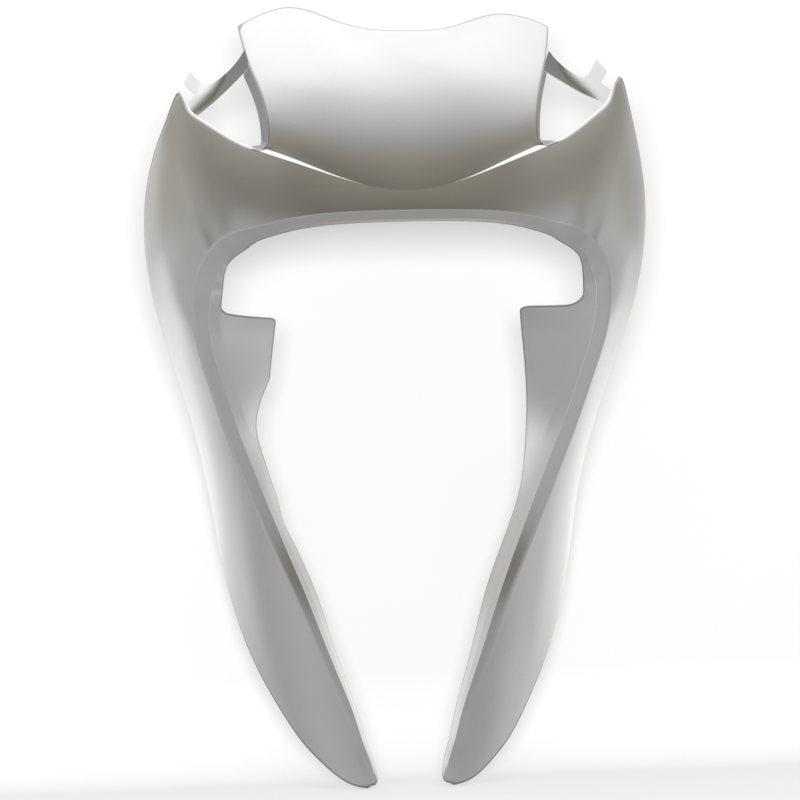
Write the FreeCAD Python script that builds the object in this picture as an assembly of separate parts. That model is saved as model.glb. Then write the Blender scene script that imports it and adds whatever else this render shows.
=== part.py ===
import FreeCAD, Part
import math
import os

Vector = FreeCAD.Vector

# Overall sizes of the moulding, millimetres
HALF_WIDTH = 196.5        # middle plane to the widest point of a wing
HEIGHT = 591.0            # close to the whole height; shares of height are percent of it
DEPTH = 195.0             # nose back to the rearmost edge of the legs
WALL = 2.5                # moulded wall
SEAM = 0.02               # largest gap closed where two surfaces meet

# Where the nose stands from the middle of the upper boss mouths
NOSE_AHEAD = 62.0
NOSE_BELOW = 60.0

# Bevel strip that runs along the crease
CREASE_ROUND = 2.0        # rounded edge, measured along each side of the crease
STRIP_WIDTH = 10.2        # on the legs
ARCH_STRIP_WIDTH = 6.0    # over the nose
STRIP_FALL = 3.0          # how far the strip falls back on the legs
ARCH_STRIP_FALL = 8.0     # the same over the nose
TOE_STRIP_RISE = 4.0      # how far it comes forward again where the crease fades out
FADE_TOP = -245.0         # height under the nose where the crease starts to fade
FADE_END = -372.0         # height under the nose where it is gone
STRIP_TAPER = 0.72        # share of its width that the strip loses down to the leg tip
ROUND_SHARE = 0.3         # most of a side that the rounded crease may take

# Inner flange
LIP_WIDTH = 9.0           # lip beside the strip, seen from the front
ARCH_LIP_WIDTH = 1.5
LIP_FALL = 8.0            # how far the lip falls back on the legs
ARCH_LIP_FALL = 16.0
FLANGE_FALL = 34.0        # how far the wide flange falls back at the shelf
TIP_FALL = 2.0            # the same at the leg tip
LEFT_SHELF_TILT = 12.0    # degrees the left shelf drops towards the middle
RIGHT_SHELF_TILT = 5.0
SHELF_ROUND = 4.5         # rounded corner of the shelf
TIP_ROUND = 5.0           # rounded inner corner of each leg tip

# Ledge between bib and brow
LEDGE_FALL = 5.0          # step at the window corners
LEDGE_RISE = 4.0
LEDGE_LEAST_FALL = 0.2    # what is left of the step at the nose
LEDGE_LEAST_RISE = 0.9
LEDGE_START = 0.3         # share of the way to the window corner where the step starts to grow

# Scallops in the edge of the left flange
SCALLOP_TOP = -139.0      # height under the nose
SCALLOP_LENGTH = 84.0
SCALLOP_DEPTH = 16.5
LOW_SCALLOP_TOP = -232.0
LOW_SCALLOP_LENGTH = 34.0
LOW_SCALLOP_DEPTH = 4.5
SCALLOP_SHAPE = [(0.12, 0.45), (0.36, 1.0), (0.62, 0.75)]   # shares of length and depth

# Walls that turn back round the lamp windows
RETURN_DEPTH = 17.0       # beside the bib
WING_RETURN_DEPTH = 21.0  # under the wing edge
RETURN_WALL = 2.2
RETURN_FLARE = 6.5        # how far it leans out into the window
RETURN_SETBACK = 1.2      # wall stands in from the rim
RETURN_ROOT = 0.8
RETURN_SHARES = (0.2, 0.4, 0.6, 0.8, 1.0)   # shares of the bib height where the wall is drawn

# Strut and notched tab beside each window
STRUT_WALL = 3.0
STRUT_BEHIND = 8.0        # strut front behind the bib edge it springs from
STRUT_TURN = 1.0          # rounded corners of strut and tab
STRUT_ROW = 0.27          # share of the bib height, from the top, where it springs
STRUT_LEAN = 5.0          # degrees the band leans out over the window
TAB_LEAN = 32.0           # degrees the tab leans back
TWIST = 14.0              # length over which the band twists into the tab
TWIST_STEPS = 14          # points each way that draw the twisted sheet

# Screw bosses behind the skin
BOSS_DIAMETER = 9.0
BORE_DIAMETER = 4.2
BORE_DEPTH = 18.0
RIB_REACH = 6.0
RIB_WALL = 1.8
RIB_STOP = 7.0            # rib ends this far short of the boss mouth
UPPER_SPACING = 140.0
LOWER_SPACING = 224.0
LOWER_DROP = 360.0        # lower bosses under the upper ones
LOWER_BACK = 128.0        # lower boss mouths behind the upper ones

# Stations of one half, leg tip to middle: outer edge and crease as percent of half width, depth and
# height from the nose, crown of the face as a share of its width, flange as percent of half width
STATIONS = [
    ((17.2, 60.5, -76.4), (15.4, 60.9, -76.2), 0.02, 1.3),
    ((24.4, 62.0, -75.9), (16.8, 61.2, -74.0), 0.05, 1.5),
    ((34.4, 66.3, -73.4), (19.9, 62.2, -71.3), 0.07, 1.7),
    ((42.3, 71.4, -70.6), (23.6, 63.3, -67.6), 0.08, 2.0),
    ((51.6, 80.1, -65.9), (29.2, 64.9, -63.0), 0.09, 2.5),
    ((59.7, 87.8, -60.8), (35.7, 66.5, -57.8), 0.095, 3.5),
    ((65.8, 93.7, -55.5), (41.7, 67.4, -52.8), 0.095, 4.4),
    ((73.4, 100.0, -44.7), (53.7, 67.7, -43.5), 0.09, 4.2),
    ((76.0, 100.0, -39.2), (59.5, 65.6, -38.7), 0.085, 5.2),
    ((79.0, 96.4, -33.6), (65.6, 61.5, -33.3), 0.08, 9.4),
    ((82.7, 90.3, -28.1), (71.2, 55.9, -28.0), 0.08, 14.8),
    ((87.4, 83.1, -22.7), (76.1, 49.8, -22.7), 0.08, 20.9),
    ((92.4, 74.4, -17.3), (80.3, 43.4, -17.6), 0.085, 26.5),
    ((96.7, 66.7, -12.0), (81.7, 38.4, -13.7), 0.095, 28.0),
    ((99.3, 61.0, -6.8), (81.4, 35.8, -10.8), 0.1, 0.0),
    ((99.9, 55.9, -1.6), (80.2, 33.5, -8.8), 0.1, 0.0),
    ((98.2, 50.3, 3.5), (78.4, 31.2, -7.4), 0.1, 0.0),
    ((94.7, 44.1, 8.1), (76.6, 29.4, -6.4), 0.09, 0.0),
    ((90.8, 38.2, 11.8), (75.1, 28.0, -5.8), 0.085, 0.0),
    ((86.4, 34.0, 15.1), (73.8, 27.2, -5.3), 0.08, 0.0),
    ((84.5, 32.6, 13.3), (72.4, 26.4, -4.9), 0.08, 0.0),
    ((79.4, 29.7, 11.4), (70.2, 25.2, -4.4), 0.09, 0.0),
    ((67.3, 22.8, 8.6), (65.1, 22.9, -3.6), 0.1, 0.0),
    ((51.9, 14.6, 6.0), (55.7, 17.0, -3.0), 0.08, 0.0),
    ((43.8, 10.8, 4.9), (48.3, 12.7, -2.5), 0.065, 0.0),
    ((34.8, 7.2, 3.7), (39.7, 8.5, -2.1), 0.05, 0.0),
    ((16.9, 2.1, 1.6), (20.4, 2.3, -1.8), 0.04, 0.0),
    ((0.0, 0.0, 0.7), (0.0, -0.2, -1.8), 0.035, 0.0),
]
SHELF = 13                # station of the shelf
WING_TIP = 19             # station of the wing tip
CORNER = 23               # station of the window corner

# Bib rows from the top edge down: depth and height on the middle line, then half width, depth and
# height of its side edge, as percent of the overall sizes
BIB_ROWS = [
    ((31.8, 22.0), (61.2, 47.2, 23.2)),
    ((19.0, 17.8), (57.9, 34.9, 18.5)),
    ((8.5, 12.7), (53.8, 24.6, 14.2)),
    ((2.1, 6.8), (51.6, 18.5, 10.2)),
]
BIB_WAVE = (0.0, 0.4, 2.2, 1.5, 0.0)   # lift of the top edge, middle to side, percent of height

# Strut and tab seen from the front: half width and height from the nose, percent, bib outwards
STRUT_TOP = [(59.0, 20.0), (66.0, 17.3), (73.4, 15.9)]
TAB = [(77.0, 17.1), (79.8, 18.4), (83.2, 16.7), (79.2, 15.0), (83.2, 13.6)]
STRUT_LOW = [(81.9, 11.8), (69.4, 14.5), (57.5, 17.8)]
FOLD = [(70.0, 16.3), (75.0, 13.2)]    # line where the band starts to twist


def place(share):
    """Point at shares of the overall sizes, measured from the nose."""
    across = share[0] * HALF_WIDTH / 100
    back = share[1] * DEPTH / 100 - NOSE_AHEAD
    up = share[2] * HEIGHT / 100 - NOSE_BELOW
    return Vector(across, back, up)


def mirror(point):
    """The same point on the other side of the middle plane."""
    return Vector(-point.x, point.y, point.z)


def ease(value):
    """Smooth step from 0 to 1, held flat outside."""
    value = min(1.0, max(0.0, value))
    return value * value * (3 - 2 * value)


def mix(first, second, share):
    """Plain blend of two values or points."""
    return first * (1 - share) + second * share


def unit(vector):
    """Vector of length one."""
    return vector * (1 / vector.Length)


half = [(place(s[0]), place(s[1]), s[2], s[3] * HALF_WIDTH / 100) for s in STATIONS]
other = [(mirror(s[0]), mirror(s[1]), s[2], s[3]) for s in half]
band = other + half[-2::-1]
COUNT = len(band)
MIDDLE = COUNT // 2


def along(points, i):
    """Direction of a row of points at one of them."""
    return unit(points[min(i + 1, len(points) - 1)] - points[max(i - 1, 0)])


outer_edge = [s[0] for s in band]
crease = [s[1] for s in band]
chord_middle = [mix(a, b, 0.5) for a, b in zip(outer_edge, crease)]


def section(i):
    """Nodes across the skin at one station: outer edge to the lip, then the flange edge."""
    edge, fold, crown, flange = band[i]
    chord = fold - edge
    into = unit(along(chord_middle, i).cross(chord))
    lift = into * (-4 * crown * chord.Length)
    crown_one = mix(edge, fold, 1 / 3) + lift * (2 / 9)
    crown_two = mix(edge, fold, 2 / 3) + lift * (2 / 9)
    way = along(crease, i)
    inward = unit(Vector(way.z, 0, -way.x))
    arch = 0.0
    if min(i, COUNT - 1 - i) > SHELF:
        arch = 1 - abs(inward.x) ** 3
    level = fold.z + NOSE_BELOW
    tip_level = outer_edge[0].z + NOSE_BELOW
    fade = ease((FADE_TOP - level) / (FADE_TOP - FADE_END))
    taper = min(1.0, max(0.0, (FADE_TOP - level) / (FADE_TOP - tip_level)))
    width = mix(STRIP_WIDTH, ARCH_STRIP_WIDTH, arch) * (1 - STRIP_TAPER * taper)
    fall = mix(mix(STRIP_FALL, ARCH_STRIP_FALL, arch), -TOE_STRIP_RISE * (1 - taper), fade)
    strip_edge = fold + inward * width + Vector(0, fall, 0)
    rounding = min(CREASE_ROUND, ROUND_SHARE * chord.Length, ROUND_SHARE * (strip_edge - fold).Length)
    round_start = fold - unit(fold - crown_two) * rounding
    round_end = fold + unit(strip_edge - fold) * rounding
    round_middle = mix(mix(round_start, round_end, 0.5), fold, 0.5)
    if flange > 0:
        leg = math.sqrt(max(0.0, (crease[0].z - fold.z) / (crease[0].z - crease[SHELF].z)))
        flange_fall = TIP_FALL + (FLANGE_FALL - TIP_FALL) * leg
        lip = min(LIP_WIDTH, flange / 2)
        lip_edge = strip_edge + inward * lip + Vector(0, flange_fall * lip / flange, 0)
        turn = 0.0
        if i == SHELF:
            turn = math.radians(LEFT_SHELF_TILT)
        if i == COUNT - 1 - SHELF:
            turn = math.radians(RIGHT_SHELF_TILT)
        reach = inward * math.cos(turn) + Vector(0, 0, -math.sin(turn))
        flange_edge = lip_edge + reach * (flange - lip) + Vector(0, flange_fall * (1 - lip / flange), 0)
    else:
        lip = mix(LIP_WIDTH, ARCH_LIP_WIDTH, arch)
        lip_fall = mix(LIP_FALL, ARCH_LIP_FALL, arch)
        lip_edge = strip_edge + inward * lip + Vector(0, lip_fall, 0)
        flange_edge = None
    nodes = [edge, crown_one, crown_two, round_start, round_middle, round_end, strip_edge, lip_edge]
    return nodes + [flange_edge]


def push_in(rows, thickness):
    """Rows of points moved square off the skin towards its back."""
    moved = []
    for j, row in enumerate(rows):
        line = []
        for i, point in enumerate(row):
            way = along(row, i)
            sides = []
            if j > 0:
                sides.append(unit(way.cross(point - rows[j - 1][i])))
            if j < len(rows) - 1:
                sides.append(unit(way.cross(rows[j + 1][i] - point)))
            first = sides[0]
            last = sides[-1]
            line.append(point + (first + last) * (thickness / (1 + first.dot(last))))
        moved.append(line)
    return moved


def spread(rows):
    """Running length along rows of points, shared by every row."""
    total = [0.0]
    for i in range(1, len(rows[0])):
        step = sum((row[i] - row[i - 1]).Length for row in rows) / len(rows)
        total.append(total[-1] + step)
    return total


def surface(rows, lengths):
    """Smooth surface through rows of points."""
    lines = []
    for row in rows:
        curve = Part.BSplineCurve()
        curve.interpolate(Points=row, Parameters=lengths)
        lines.append(curve)
    poles = [curve.getPoles() for curve in lines]
    steps = [j / (len(rows) - 1) for j in range(len(rows))]
    across = []
    for column in zip(*poles):
        curve = Part.BSplineCurve()
        if len(column) == 2:
            curve.buildFromPolesMultsKnots(list(column), [2, 2], [0.0, 1.0], False, 1)
        else:
            curve.interpolate(Points=list(column), Parameters=steps)
        across.append(curve)
    net = [curve.getPoles() for curve in across]
    skin = Part.BSplineSurface()
    skin.buildFromPolesMultsKnots(
        net, lines[0].getMultiplicities(), across[0].getMultiplicities(), lines[0].getKnots(),
        across[0].getKnots(), False, False, lines[0].Degree, across[0].Degree)
    return skin


def cut_piece(skin, start, end):
    """Part of a surface between two running lengths."""
    piece = skin.copy()
    low, high, first, last = piece.bounds()
    piece.segment(start, end, first, last)
    return piece


def side(skin, name):
    """One boundary edge of a surface."""
    low, high, first, last = skin.bounds()
    if name == "first":
        return skin.vIso(first).toShape()
    if name == "last":
        return skin.vIso(last).toShape()
    if name == "start":
        return skin.uIso(low).toShape()
    return skin.uIso(high).toShape()


def rim(outside, inside, name):
    """Ruled face that closes one boundary between the two skins."""
    return Part.makeRuledSurface(side(outside, name), side(inside, name))


# Band of wings, brow and legs
sections = [section(i) for i in range(COUNT)]
rows = [list(row) for row in zip(*[s[:8] for s in sections])]
inner_rows = push_in(rows, WALL)
middle_rows = push_in(rows, WALL / 2)
lengths = spread([rows[0], rows[3]])
LAST = COUNT - 1
CUTS = [0, SHELF, CORNER, LAST - CORNER, LAST - SHELF, LAST]
faces = []
face_rows = (0, 3)
crease_rows = (3, 5)
strip_rows = (5, 6)
lip_rows = (6, 7)
for group in (face_rows, crease_rows, strip_rows, lip_rows):
    outside = surface(rows[group[0]:group[1] + 1], lengths)
    inside = surface(inner_rows[group[0]:group[1] + 1], lengths)
    for start, end in zip(CUTS, CUTS[1:]):
        skin = cut_piece(outside, lengths[start], lengths[end])
        back = cut_piece(inside, lengths[start], lengths[end])
        faces.append(skin.toShape())
        faces.append(back.toShape())
        if group == face_rows and (end <= CORNER or start >= LAST - CORNER):
            faces.append(rim(skin, back, "first"))
        if group == face_rows and start == CORNER:
            brow_skin = skin
            brow_back = back
        if group == lip_rows and SHELF <= start < LAST - SHELF:
            faces.append(rim(skin, back, "last"))
        if start == 0:
            faces.append(rim(skin, back, "start"))
        if end == LAST:
            faces.append(rim(skin, back, "end"))

# Wide flange of each leg, from the lip to its inner edge
lip_line = [s[7] for s in sections]
flange_line = [s[8] for s in sections]
for start, end in ((0, SHELF), (LAST - SHELF, LAST)):
    edges = flange_line[start:end + 1]
    back_edges = []
    for i in range(start, end + 1):
        way = along(crease, i)
        square = unit(way.cross(flange_line[i] - lip_line[i]))
        back_edges.append(flange_line[i] + square * WALL)
    lip_skin = cut_piece(surface(rows[6:8], lengths), lengths[start], lengths[end])
    lip_back = cut_piece(surface(inner_rows[6:8], lengths), lengths[start], lengths[end])
    part_lengths = lengths[start:end + 1]
    free = Part.BSplineCurve()
    free.interpolate(Points=edges, Parameters=part_lengths)
    free_back = Part.BSplineCurve()
    free_back.interpolate(Points=back_edges, Parameters=part_lengths)
    front_line = side(lip_skin, "last")
    back_line = side(lip_back, "last")
    faces.append(Part.makeRuledSurface(front_line, free.toShape()))
    faces.append(Part.makeRuledSurface(back_line, free_back.toShape()))
    faces.append(Part.makeRuledSurface(free.toShape(), free_back.toShape()))
    for i, j in ((start, 0), (end, end - start)):
        one = Part.makeLine(lip_line[i], edges[j])
        two = Part.makeLine(inner_rows[7][i], back_edges[j])
        faces.append(Part.makeRuledSurface(one, two))

# Bib and the ledge under it
bib_columns = list(range(CORNER, LAST - CORNER + 1))
CORNER_REACH = abs(outer_edge[CORNER].x)
bib_rows = []
for level, (centre, flank) in enumerate(BIB_ROWS):
    line = []
    for i in bib_columns:
        share = outer_edge[i].x / CORNER_REACH
        bend = share * share
        lift = 0.0
        if level == 0:
            lift = BIB_WAVE[abs(i - MIDDLE)]
        spot = (flank[0] * share, mix(centre[0], flank[1], bend), mix(centre[1], flank[2], bend) + lift)
        line.append(place(spot))
    bib_rows.append(line)
foot = []
for i in bib_columns:
    grow = ease((abs(outer_edge[i].x) / CORNER_REACH - LEDGE_START) / (1 - LEDGE_START))
    fall = mix(LEDGE_LEAST_FALL, LEDGE_FALL, grow)
    rise = mix(LEDGE_LEAST_RISE, LEDGE_RISE, grow)
    foot.append(outer_edge[i] + Vector(0, fall, rise))
bib_rows.append(foot)
bib_lengths = spread([bib_rows[0], bib_rows[-1]])
bib_inner_rows = push_in(bib_rows, WALL)
bib_skin = surface(bib_rows, bib_lengths)
bib_back = surface(bib_inner_rows, bib_lengths)
bib_middle = surface(push_in(bib_rows, WALL / 2), bib_lengths)
faces.append(bib_skin.toShape())
faces.append(bib_back.toShape())
for name in ("first", "start", "end"):
    faces.append(rim(bib_skin, bib_back, name))
faces.append(Part.makeRuledSurface(side(bib_skin, "last"), side(brow_skin, "first")))
faces.append(Part.makeRuledSurface(side(bib_back, "last"), side(brow_back, "first")))
for column, i in ((0, CORNER), (-1, LAST - CORNER)):
    one = Part.makeLine(foot[column], outer_edge[i])
    two = Part.makeLine(bib_inner_rows[-1][column], inner_rows[0][i])
    faces.append(Part.makeRuledSurface(one, two))

shell = Part.makeShell(faces)
shell.sewShape(SEAM)
body = Part.makeSolid(shell)

BIG = HEIGHT + DEPTH


def prism(outline):
    """Solid that stands on an outline in the front plane and runs through the whole depth."""
    face = Part.Face(Part.Wire(outline))
    face.translate(Vector(0, -BIG - face.BoundBox.YMin, 0))
    return face.extrude(Vector(0, 2 * BIG, 0))


def flat(point):
    """Point moved square onto the front plane."""
    return Vector(point.x, 0, point.z)


def corner_cutter(tip, along_one, along_two, radius):
    """Solid outside a rounded corner."""
    one = unit(along_one)
    two = unit(along_two)
    half_angle = one.getAngle(two) / 2
    setback = radius / math.tan(half_angle)
    start = tip + one * setback
    end = tip + two * setback
    centre = tip + unit(one + two) * (radius / math.sin(half_angle))
    middle = centre - unit(one + two) * radius
    beyond = tip - unit(one + two) * radius
    outline = [
        Part.makeLine(beyond, start), Part.Arc(start, middle, end).toShape(), Part.makeLine(end, beyond)]
    return prism(outline)


# Rounded shelf corners
for start, step in ((SHELF, -1), (LAST - SHELF, 1)):
    tip = flat(flange_line[start])
    along_shelf = flat(lip_line[start]) - tip
    along_edge = flat(flange_line[start + step]) - tip
    body = body.cut(corner_cutter(tip, along_shelf, along_edge, SHELF_ROUND))

# Rounded leg tips
for start, step in ((0, 1), (LAST, -1)):
    tip = flat(flange_line[start])
    along_end = flat(outer_edge[start]) - tip
    along_edge = flat(flange_line[start + step]) - tip
    body = body.cut(corner_cutter(tip, along_end, along_edge, TIP_ROUND))

# Scallops in the left flange
scallops = [
    (SCALLOP_TOP, SCALLOP_LENGTH, SCALLOP_DEPTH),
    (LOW_SCALLOP_TOP, LOW_SCALLOP_LENGTH, LOW_SCALLOP_DEPTH)]
left_edge = Part.BSplineCurve()
left_edge.interpolate(Points=[flat(point) for point in flange_line[:SHELF + 1]])


def edge_at(level):
    """Point of the left flange edge at a height under the nose."""
    plane = Part.Plane(Vector(0, 0, level - NOSE_BELOW), Vector(0, 0, 1))
    spot = left_edge.intersect(plane)[0][0]
    return Vector(spot.X, spot.Y, spot.Z)


for top, length, bite in scallops:
    start = edge_at(top)
    end = edge_at(top - length)
    run = end - start
    square = unit(Vector(run.z, 0, -run.x))
    if square.x > 0:
        square = square * -1
    hollow = Part.BSplineCurve()
    inside = [start + run * share + square * (bite * deep) for share, deep in SCALLOP_SHAPE]
    hollow.interpolate(Points=[start] + inside + [end])
    away = square * (-2 * bite)
    outline = [
        hollow.toShape(), Part.makeLine(end, end + away), Part.makeLine(end + away, start + away),
        Part.makeLine(start + away, start)]
    body = body.cut(prism(outline))


def wall_block(spots, thick_ways, back_ways):
    """Bent wall through a row of edge points, each with its thickness and its way back."""
    wires = []
    for spot, thick, back in zip(spots, thick_ways, back_ways):
        root = spot + unit(thick) * RETURN_SETBACK + unit(back) * RETURN_ROOT
        corners = [root, root + back, root + back + thick, root + thick, root]
        wires.append(Part.makePolygon(corners))
    return Part.makeLoft(wires, True, False)


# Walls that turn back round the windows
low, high, first, last = bib_skin.bounds()
adds = []
for hand, at in ((-1, low), (1, high)):
    spots = [bib_skin.value(at, mix(first, last, share)) for share in RETURN_SHARES]
    spots[-1] = spots[-1] + Vector(0, 0, WALL)
    thick = [Vector(-hand * RETURN_WALL, 0, 0)] * len(spots)
    back = [Vector(hand * RETURN_FLARE, RETURN_DEPTH, 0)] * len(spots)
    adds.append(wall_block(spots, thick, back))
for stations in (range(WING_TIP + 1, CORNER + 1), range(LAST - CORNER, LAST - WING_TIP)):
    spots = []
    thick = []
    for i in stations:
        spots.append(rows[0][i])
        lean = flat(rows[1][i] - rows[0][i])
        thick.append(unit(lean) * RETURN_WALL)
    back = [Vector(0, WING_RETURN_DEPTH, 0)] * len(spots)
    adds.append(wall_block(spots, thick, back))

# Struts with their notched tabs
def front_spot(share, hand):
    """Point of the strut's outline on the front plane."""
    return flat(place((hand * share[0], 0.0, share[1])))


def twisted_sheet(hand, depth):
    """Sheet that leans forward along the band and twists back into the tab."""
    start, end = [front_spot(share, 1) for share in FOLD]
    middle = mix(start, end, 0.5)
    past = unit(Vector(start.z - end.z, 0, end.x - start.x))
    outline = [front_spot(share, 1) for share in STRUT_TOP + TAB + STRUT_LOW]
    left = min(point.x for point in outline) - STRUT_WALL
    right = max(point.x for point in outline) + STRUT_WALL
    low = min(point.z for point in outline) - STRUT_WALL
    high = max(point.z for point in outline) + STRUT_WALL
    net = []
    for column in range(TWIST_STEPS + 1):
        line = []
        for step in range(TWIST_STEPS + 1):
            spot = Vector(mix(left, right, column / TWIST_STEPS), 0, mix(low, high, step / TWIST_STEPS))
            turned = ease((spot - start).dot(past) / TWIST)
            slope = math.tan(math.radians(mix(-STRUT_LEAN, TAB_LEAN, turned)))
            line.append(Vector(hand * spot.x, depth + (spot.z - middle.z) * slope, spot.z))
        net.append(line)
    sheet = Part.BSplineSurface()
    sheet.interpolate(net)
    return sheet.toShape().extrude(Vector(0, STRUT_WALL, 0))


for hand, at in ((-1, low), (1, high)):
    root = bib_skin.value(at, mix(first, last, STRUT_ROW))
    top_points = [front_spot(share, hand) for share in STRUT_TOP]
    tab_points = [front_spot(share, hand) for share in TAB]
    low_points = [front_spot(share, hand) for share in STRUT_LOW]
    outline = [Part.Arc(*top_points).toShape(), Part.Arc(*low_points).toShape()]
    corners = top_points[-1:] + tab_points + low_points[:1]
    for one, two in zip(corners, corners[1:]):
        outline.append(Part.makeLine(one, two))
    outline.append(Part.makeLine(low_points[-1], top_points[0]))
    block = prism(Part.sortEdges(outline)[0])
    upright = [e for e in block.Edges if abs(e.Length - 2 * BIG) < SEAM]
    block = block.makeFillet(STRUT_TURN, upright)
    adds.append(block.common(twisted_sheet(hand, root.y + STRUT_BEHIND)))

# Screw bosses behind the skin
bib_block = bib_middle.toShape().extrude(Vector(0, -BIG, 0))
face_block = surface(middle_rows[0:4], lengths).toShape().extrude(Vector(0, -BIG, 0))
bores = []


def boss(across, mouth, up, block):
    """Ribbed boss from the skin back to its mouth, open to the rear."""
    axis = Vector(0, 1, 0)
    foot_point = Vector(across, mouth - BIG, up)
    post = Part.makeCylinder(BOSS_DIAMETER / 2, BIG, foot_point, axis)
    reach = BOSS_DIAMETER / 2 + RIB_REACH
    length = BIG - RIB_STOP
    flat_rib = Part.makeBox(2 * reach, length, RIB_WALL, foot_point - Vector(reach, 0, RIB_WALL / 2))
    tall_rib = Part.makeBox(RIB_WALL, length, 2 * reach, foot_point - Vector(RIB_WALL / 2, 0, reach))
    bore_foot = Vector(across, mouth - BORE_DEPTH, up)
    bores.append(Part.makeCylinder(BORE_DIAMETER / 2, 2 * BORE_DEPTH, bore_foot, axis))
    return post.fuse([flat_rib, tall_rib]).cut(block)


for hand in (-1, 1):
    adds.append(boss(hand * UPPER_SPACING / 2, 0.0, 0.0, bib_block))
    adds.append(boss(hand * LOWER_SPACING / 2, LOWER_BACK, -LOWER_DROP, face_block))

body = body.fuse(adds)
body = body.cut(bores).Solids[0]

os.makedirs("parts", exist_ok=True)
body.exportStep("parts/front_fairing.step")
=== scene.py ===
import logging
import math
from dataclasses import dataclass, field
from enum import Enum, IntEnum

import bmesh
import bpy
import numpy as np
from mathutils import Matrix, Vector
from mathutils.kdtree import KDTree


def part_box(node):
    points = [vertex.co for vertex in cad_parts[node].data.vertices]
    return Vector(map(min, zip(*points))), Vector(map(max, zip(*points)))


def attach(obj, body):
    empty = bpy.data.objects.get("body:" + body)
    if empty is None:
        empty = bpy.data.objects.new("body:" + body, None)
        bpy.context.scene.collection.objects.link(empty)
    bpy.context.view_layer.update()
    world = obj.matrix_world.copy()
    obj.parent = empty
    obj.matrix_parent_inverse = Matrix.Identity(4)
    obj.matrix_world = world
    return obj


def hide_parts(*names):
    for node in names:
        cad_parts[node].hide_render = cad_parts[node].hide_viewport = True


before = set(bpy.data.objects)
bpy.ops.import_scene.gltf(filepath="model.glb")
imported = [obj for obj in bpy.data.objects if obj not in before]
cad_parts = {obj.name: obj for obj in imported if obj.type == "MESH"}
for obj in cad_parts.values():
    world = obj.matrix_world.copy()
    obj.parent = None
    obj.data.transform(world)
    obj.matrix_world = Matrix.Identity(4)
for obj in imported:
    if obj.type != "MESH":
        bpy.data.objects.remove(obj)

LOG = logging.getLogger("front_fairing")
NODE = "front_fairing"
BODY = "root"
WHITE = (1.0, 1.0, 1.0, 1.0)
WELD = 0.000001  # metres within which two points are one
GROWN_SHARP = 35.0  # degrees past which an edge of a grown piece is sharp

Amount = float | np.ndarray


class Row(IntEnum):
    """Lines that run along the skin, from its outer edge to the lip of the opening."""

    EDGE = 0
    CROWN_ONE = 1
    CROWN_TWO = 2
    ROUND_START = 3
    ROUND_MIDDLE = 4
    ROUND_END = 5
    STRIP = 6
    LIP = 7


class Hand(IntEnum):
    """Side of the part as the picture shows it."""

    LEFT = -1
    RIGHT = 1


class Face(Enum):
    """Which side of the wall a finish covers."""

    SHOWN = 0
    HIDDEN = 1


# Stations of one half, leg tip to middle: outer edge and crease as percent of half width, depth and
# height from the nose, crown of the face as a share of its width, flange as percent of half width
STATIONS = [
    ((17.2, 60.5, -76.4), (15.4, 60.9, -76.2), 0.02, 1.3),
    ((24.4, 62.0, -75.9), (16.8, 61.2, -74.0), 0.05, 1.5),
    ((34.4, 66.3, -73.4), (19.9, 62.2, -71.3), 0.07, 1.7),
    ((42.3, 71.4, -70.6), (23.6, 63.3, -67.6), 0.08, 2.0),
    ((51.6, 80.1, -65.9), (29.2, 64.9, -63.0), 0.09, 2.5),
    ((59.7, 87.8, -60.8), (35.7, 66.5, -57.8), 0.095, 3.5),
    ((65.8, 93.7, -55.5), (41.7, 67.4, -52.8), 0.095, 4.4),
    ((73.4, 100.0, -44.7), (53.7, 67.7, -43.5), 0.09, 4.2),
    ((76.0, 100.0, -39.2), (59.5, 65.6, -38.7), 0.085, 5.2),
    ((79.0, 96.4, -33.6), (65.6, 61.5, -33.3), 0.08, 9.4),
    ((82.7, 90.3, -28.1), (71.2, 55.9, -28.0), 0.08, 14.8),
    ((87.4, 83.1, -22.7), (76.1, 49.8, -22.7), 0.08, 20.9),
    ((92.4, 74.4, -17.3), (80.3, 43.4, -17.6), 0.085, 26.5),
    ((96.7, 66.7, -12.0), (81.7, 38.4, -13.7), 0.095, 28.0),
    ((99.3, 61.0, -6.8), (81.4, 35.8, -10.8), 0.1, 0.0),
    ((99.9, 55.9, -1.6), (80.2, 33.5, -8.8), 0.1, 0.0),
    ((98.2, 50.3, 3.5), (78.4, 31.2, -7.4), 0.07, 0.0),
    ((94.7, 44.1, 8.1), (76.6, 29.4, -6.4), 0.05, 0.0),
    ((90.8, 38.2, 11.8), (75.1, 28.0, -5.8), 0.035, 0.0),
    ((86.4, 34.0, 15.1), (73.8, 27.2, -5.3), 0.03, 0.0),
    ((84.5, 32.6, 13.3), (72.4, 26.4, -4.9), 0.035, 0.0),
    ((79.4, 29.7, 11.4), (70.2, 24.9, -4.4), 0.045, 0.0),
    ((67.3, 23.6, 8.6), (65.1, 22.3, -3.6), 0.05, 0.0),
    ((51.9, 15.2, 6.0), (55.7, 16.7, -3.0), 0.04, 0.0),
    ((43.8, 10.8, 4.9), (48.3, 12.7, -2.5), 0.03, 0.0),
    ((34.8, 7.2, 3.7), (39.7, 8.5, -2.1), 0.024, 0.0),
    ((16.9, 2.1, 1.6), (20.4, 2.3, -1.8), 0.018, 0.0),
    ((0.0, 0.0, 0.7), (0.0, -0.2, -1.8), 0.016, 0.0),
]
SHELF = 13
WING_TIP = 19
CORNER = 23

# Bib rows from the top edge down: depth and height on the middle line, then half width, depth and
# height of its side edge, as percent of the overall sizes
BIB_ROWS = [
    ((31.8, 22.0), (61.2, 47.2, 23.2)),
    ((19.0, 17.8), (57.9, 34.9, 18.5)),
    ((8.5, 12.7), (53.8, 24.6, 14.2)),
    ((2.1, 6.8), (51.6, 18.5, 10.2)),
]
BIB_FOOT = len(BIB_ROWS)

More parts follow.
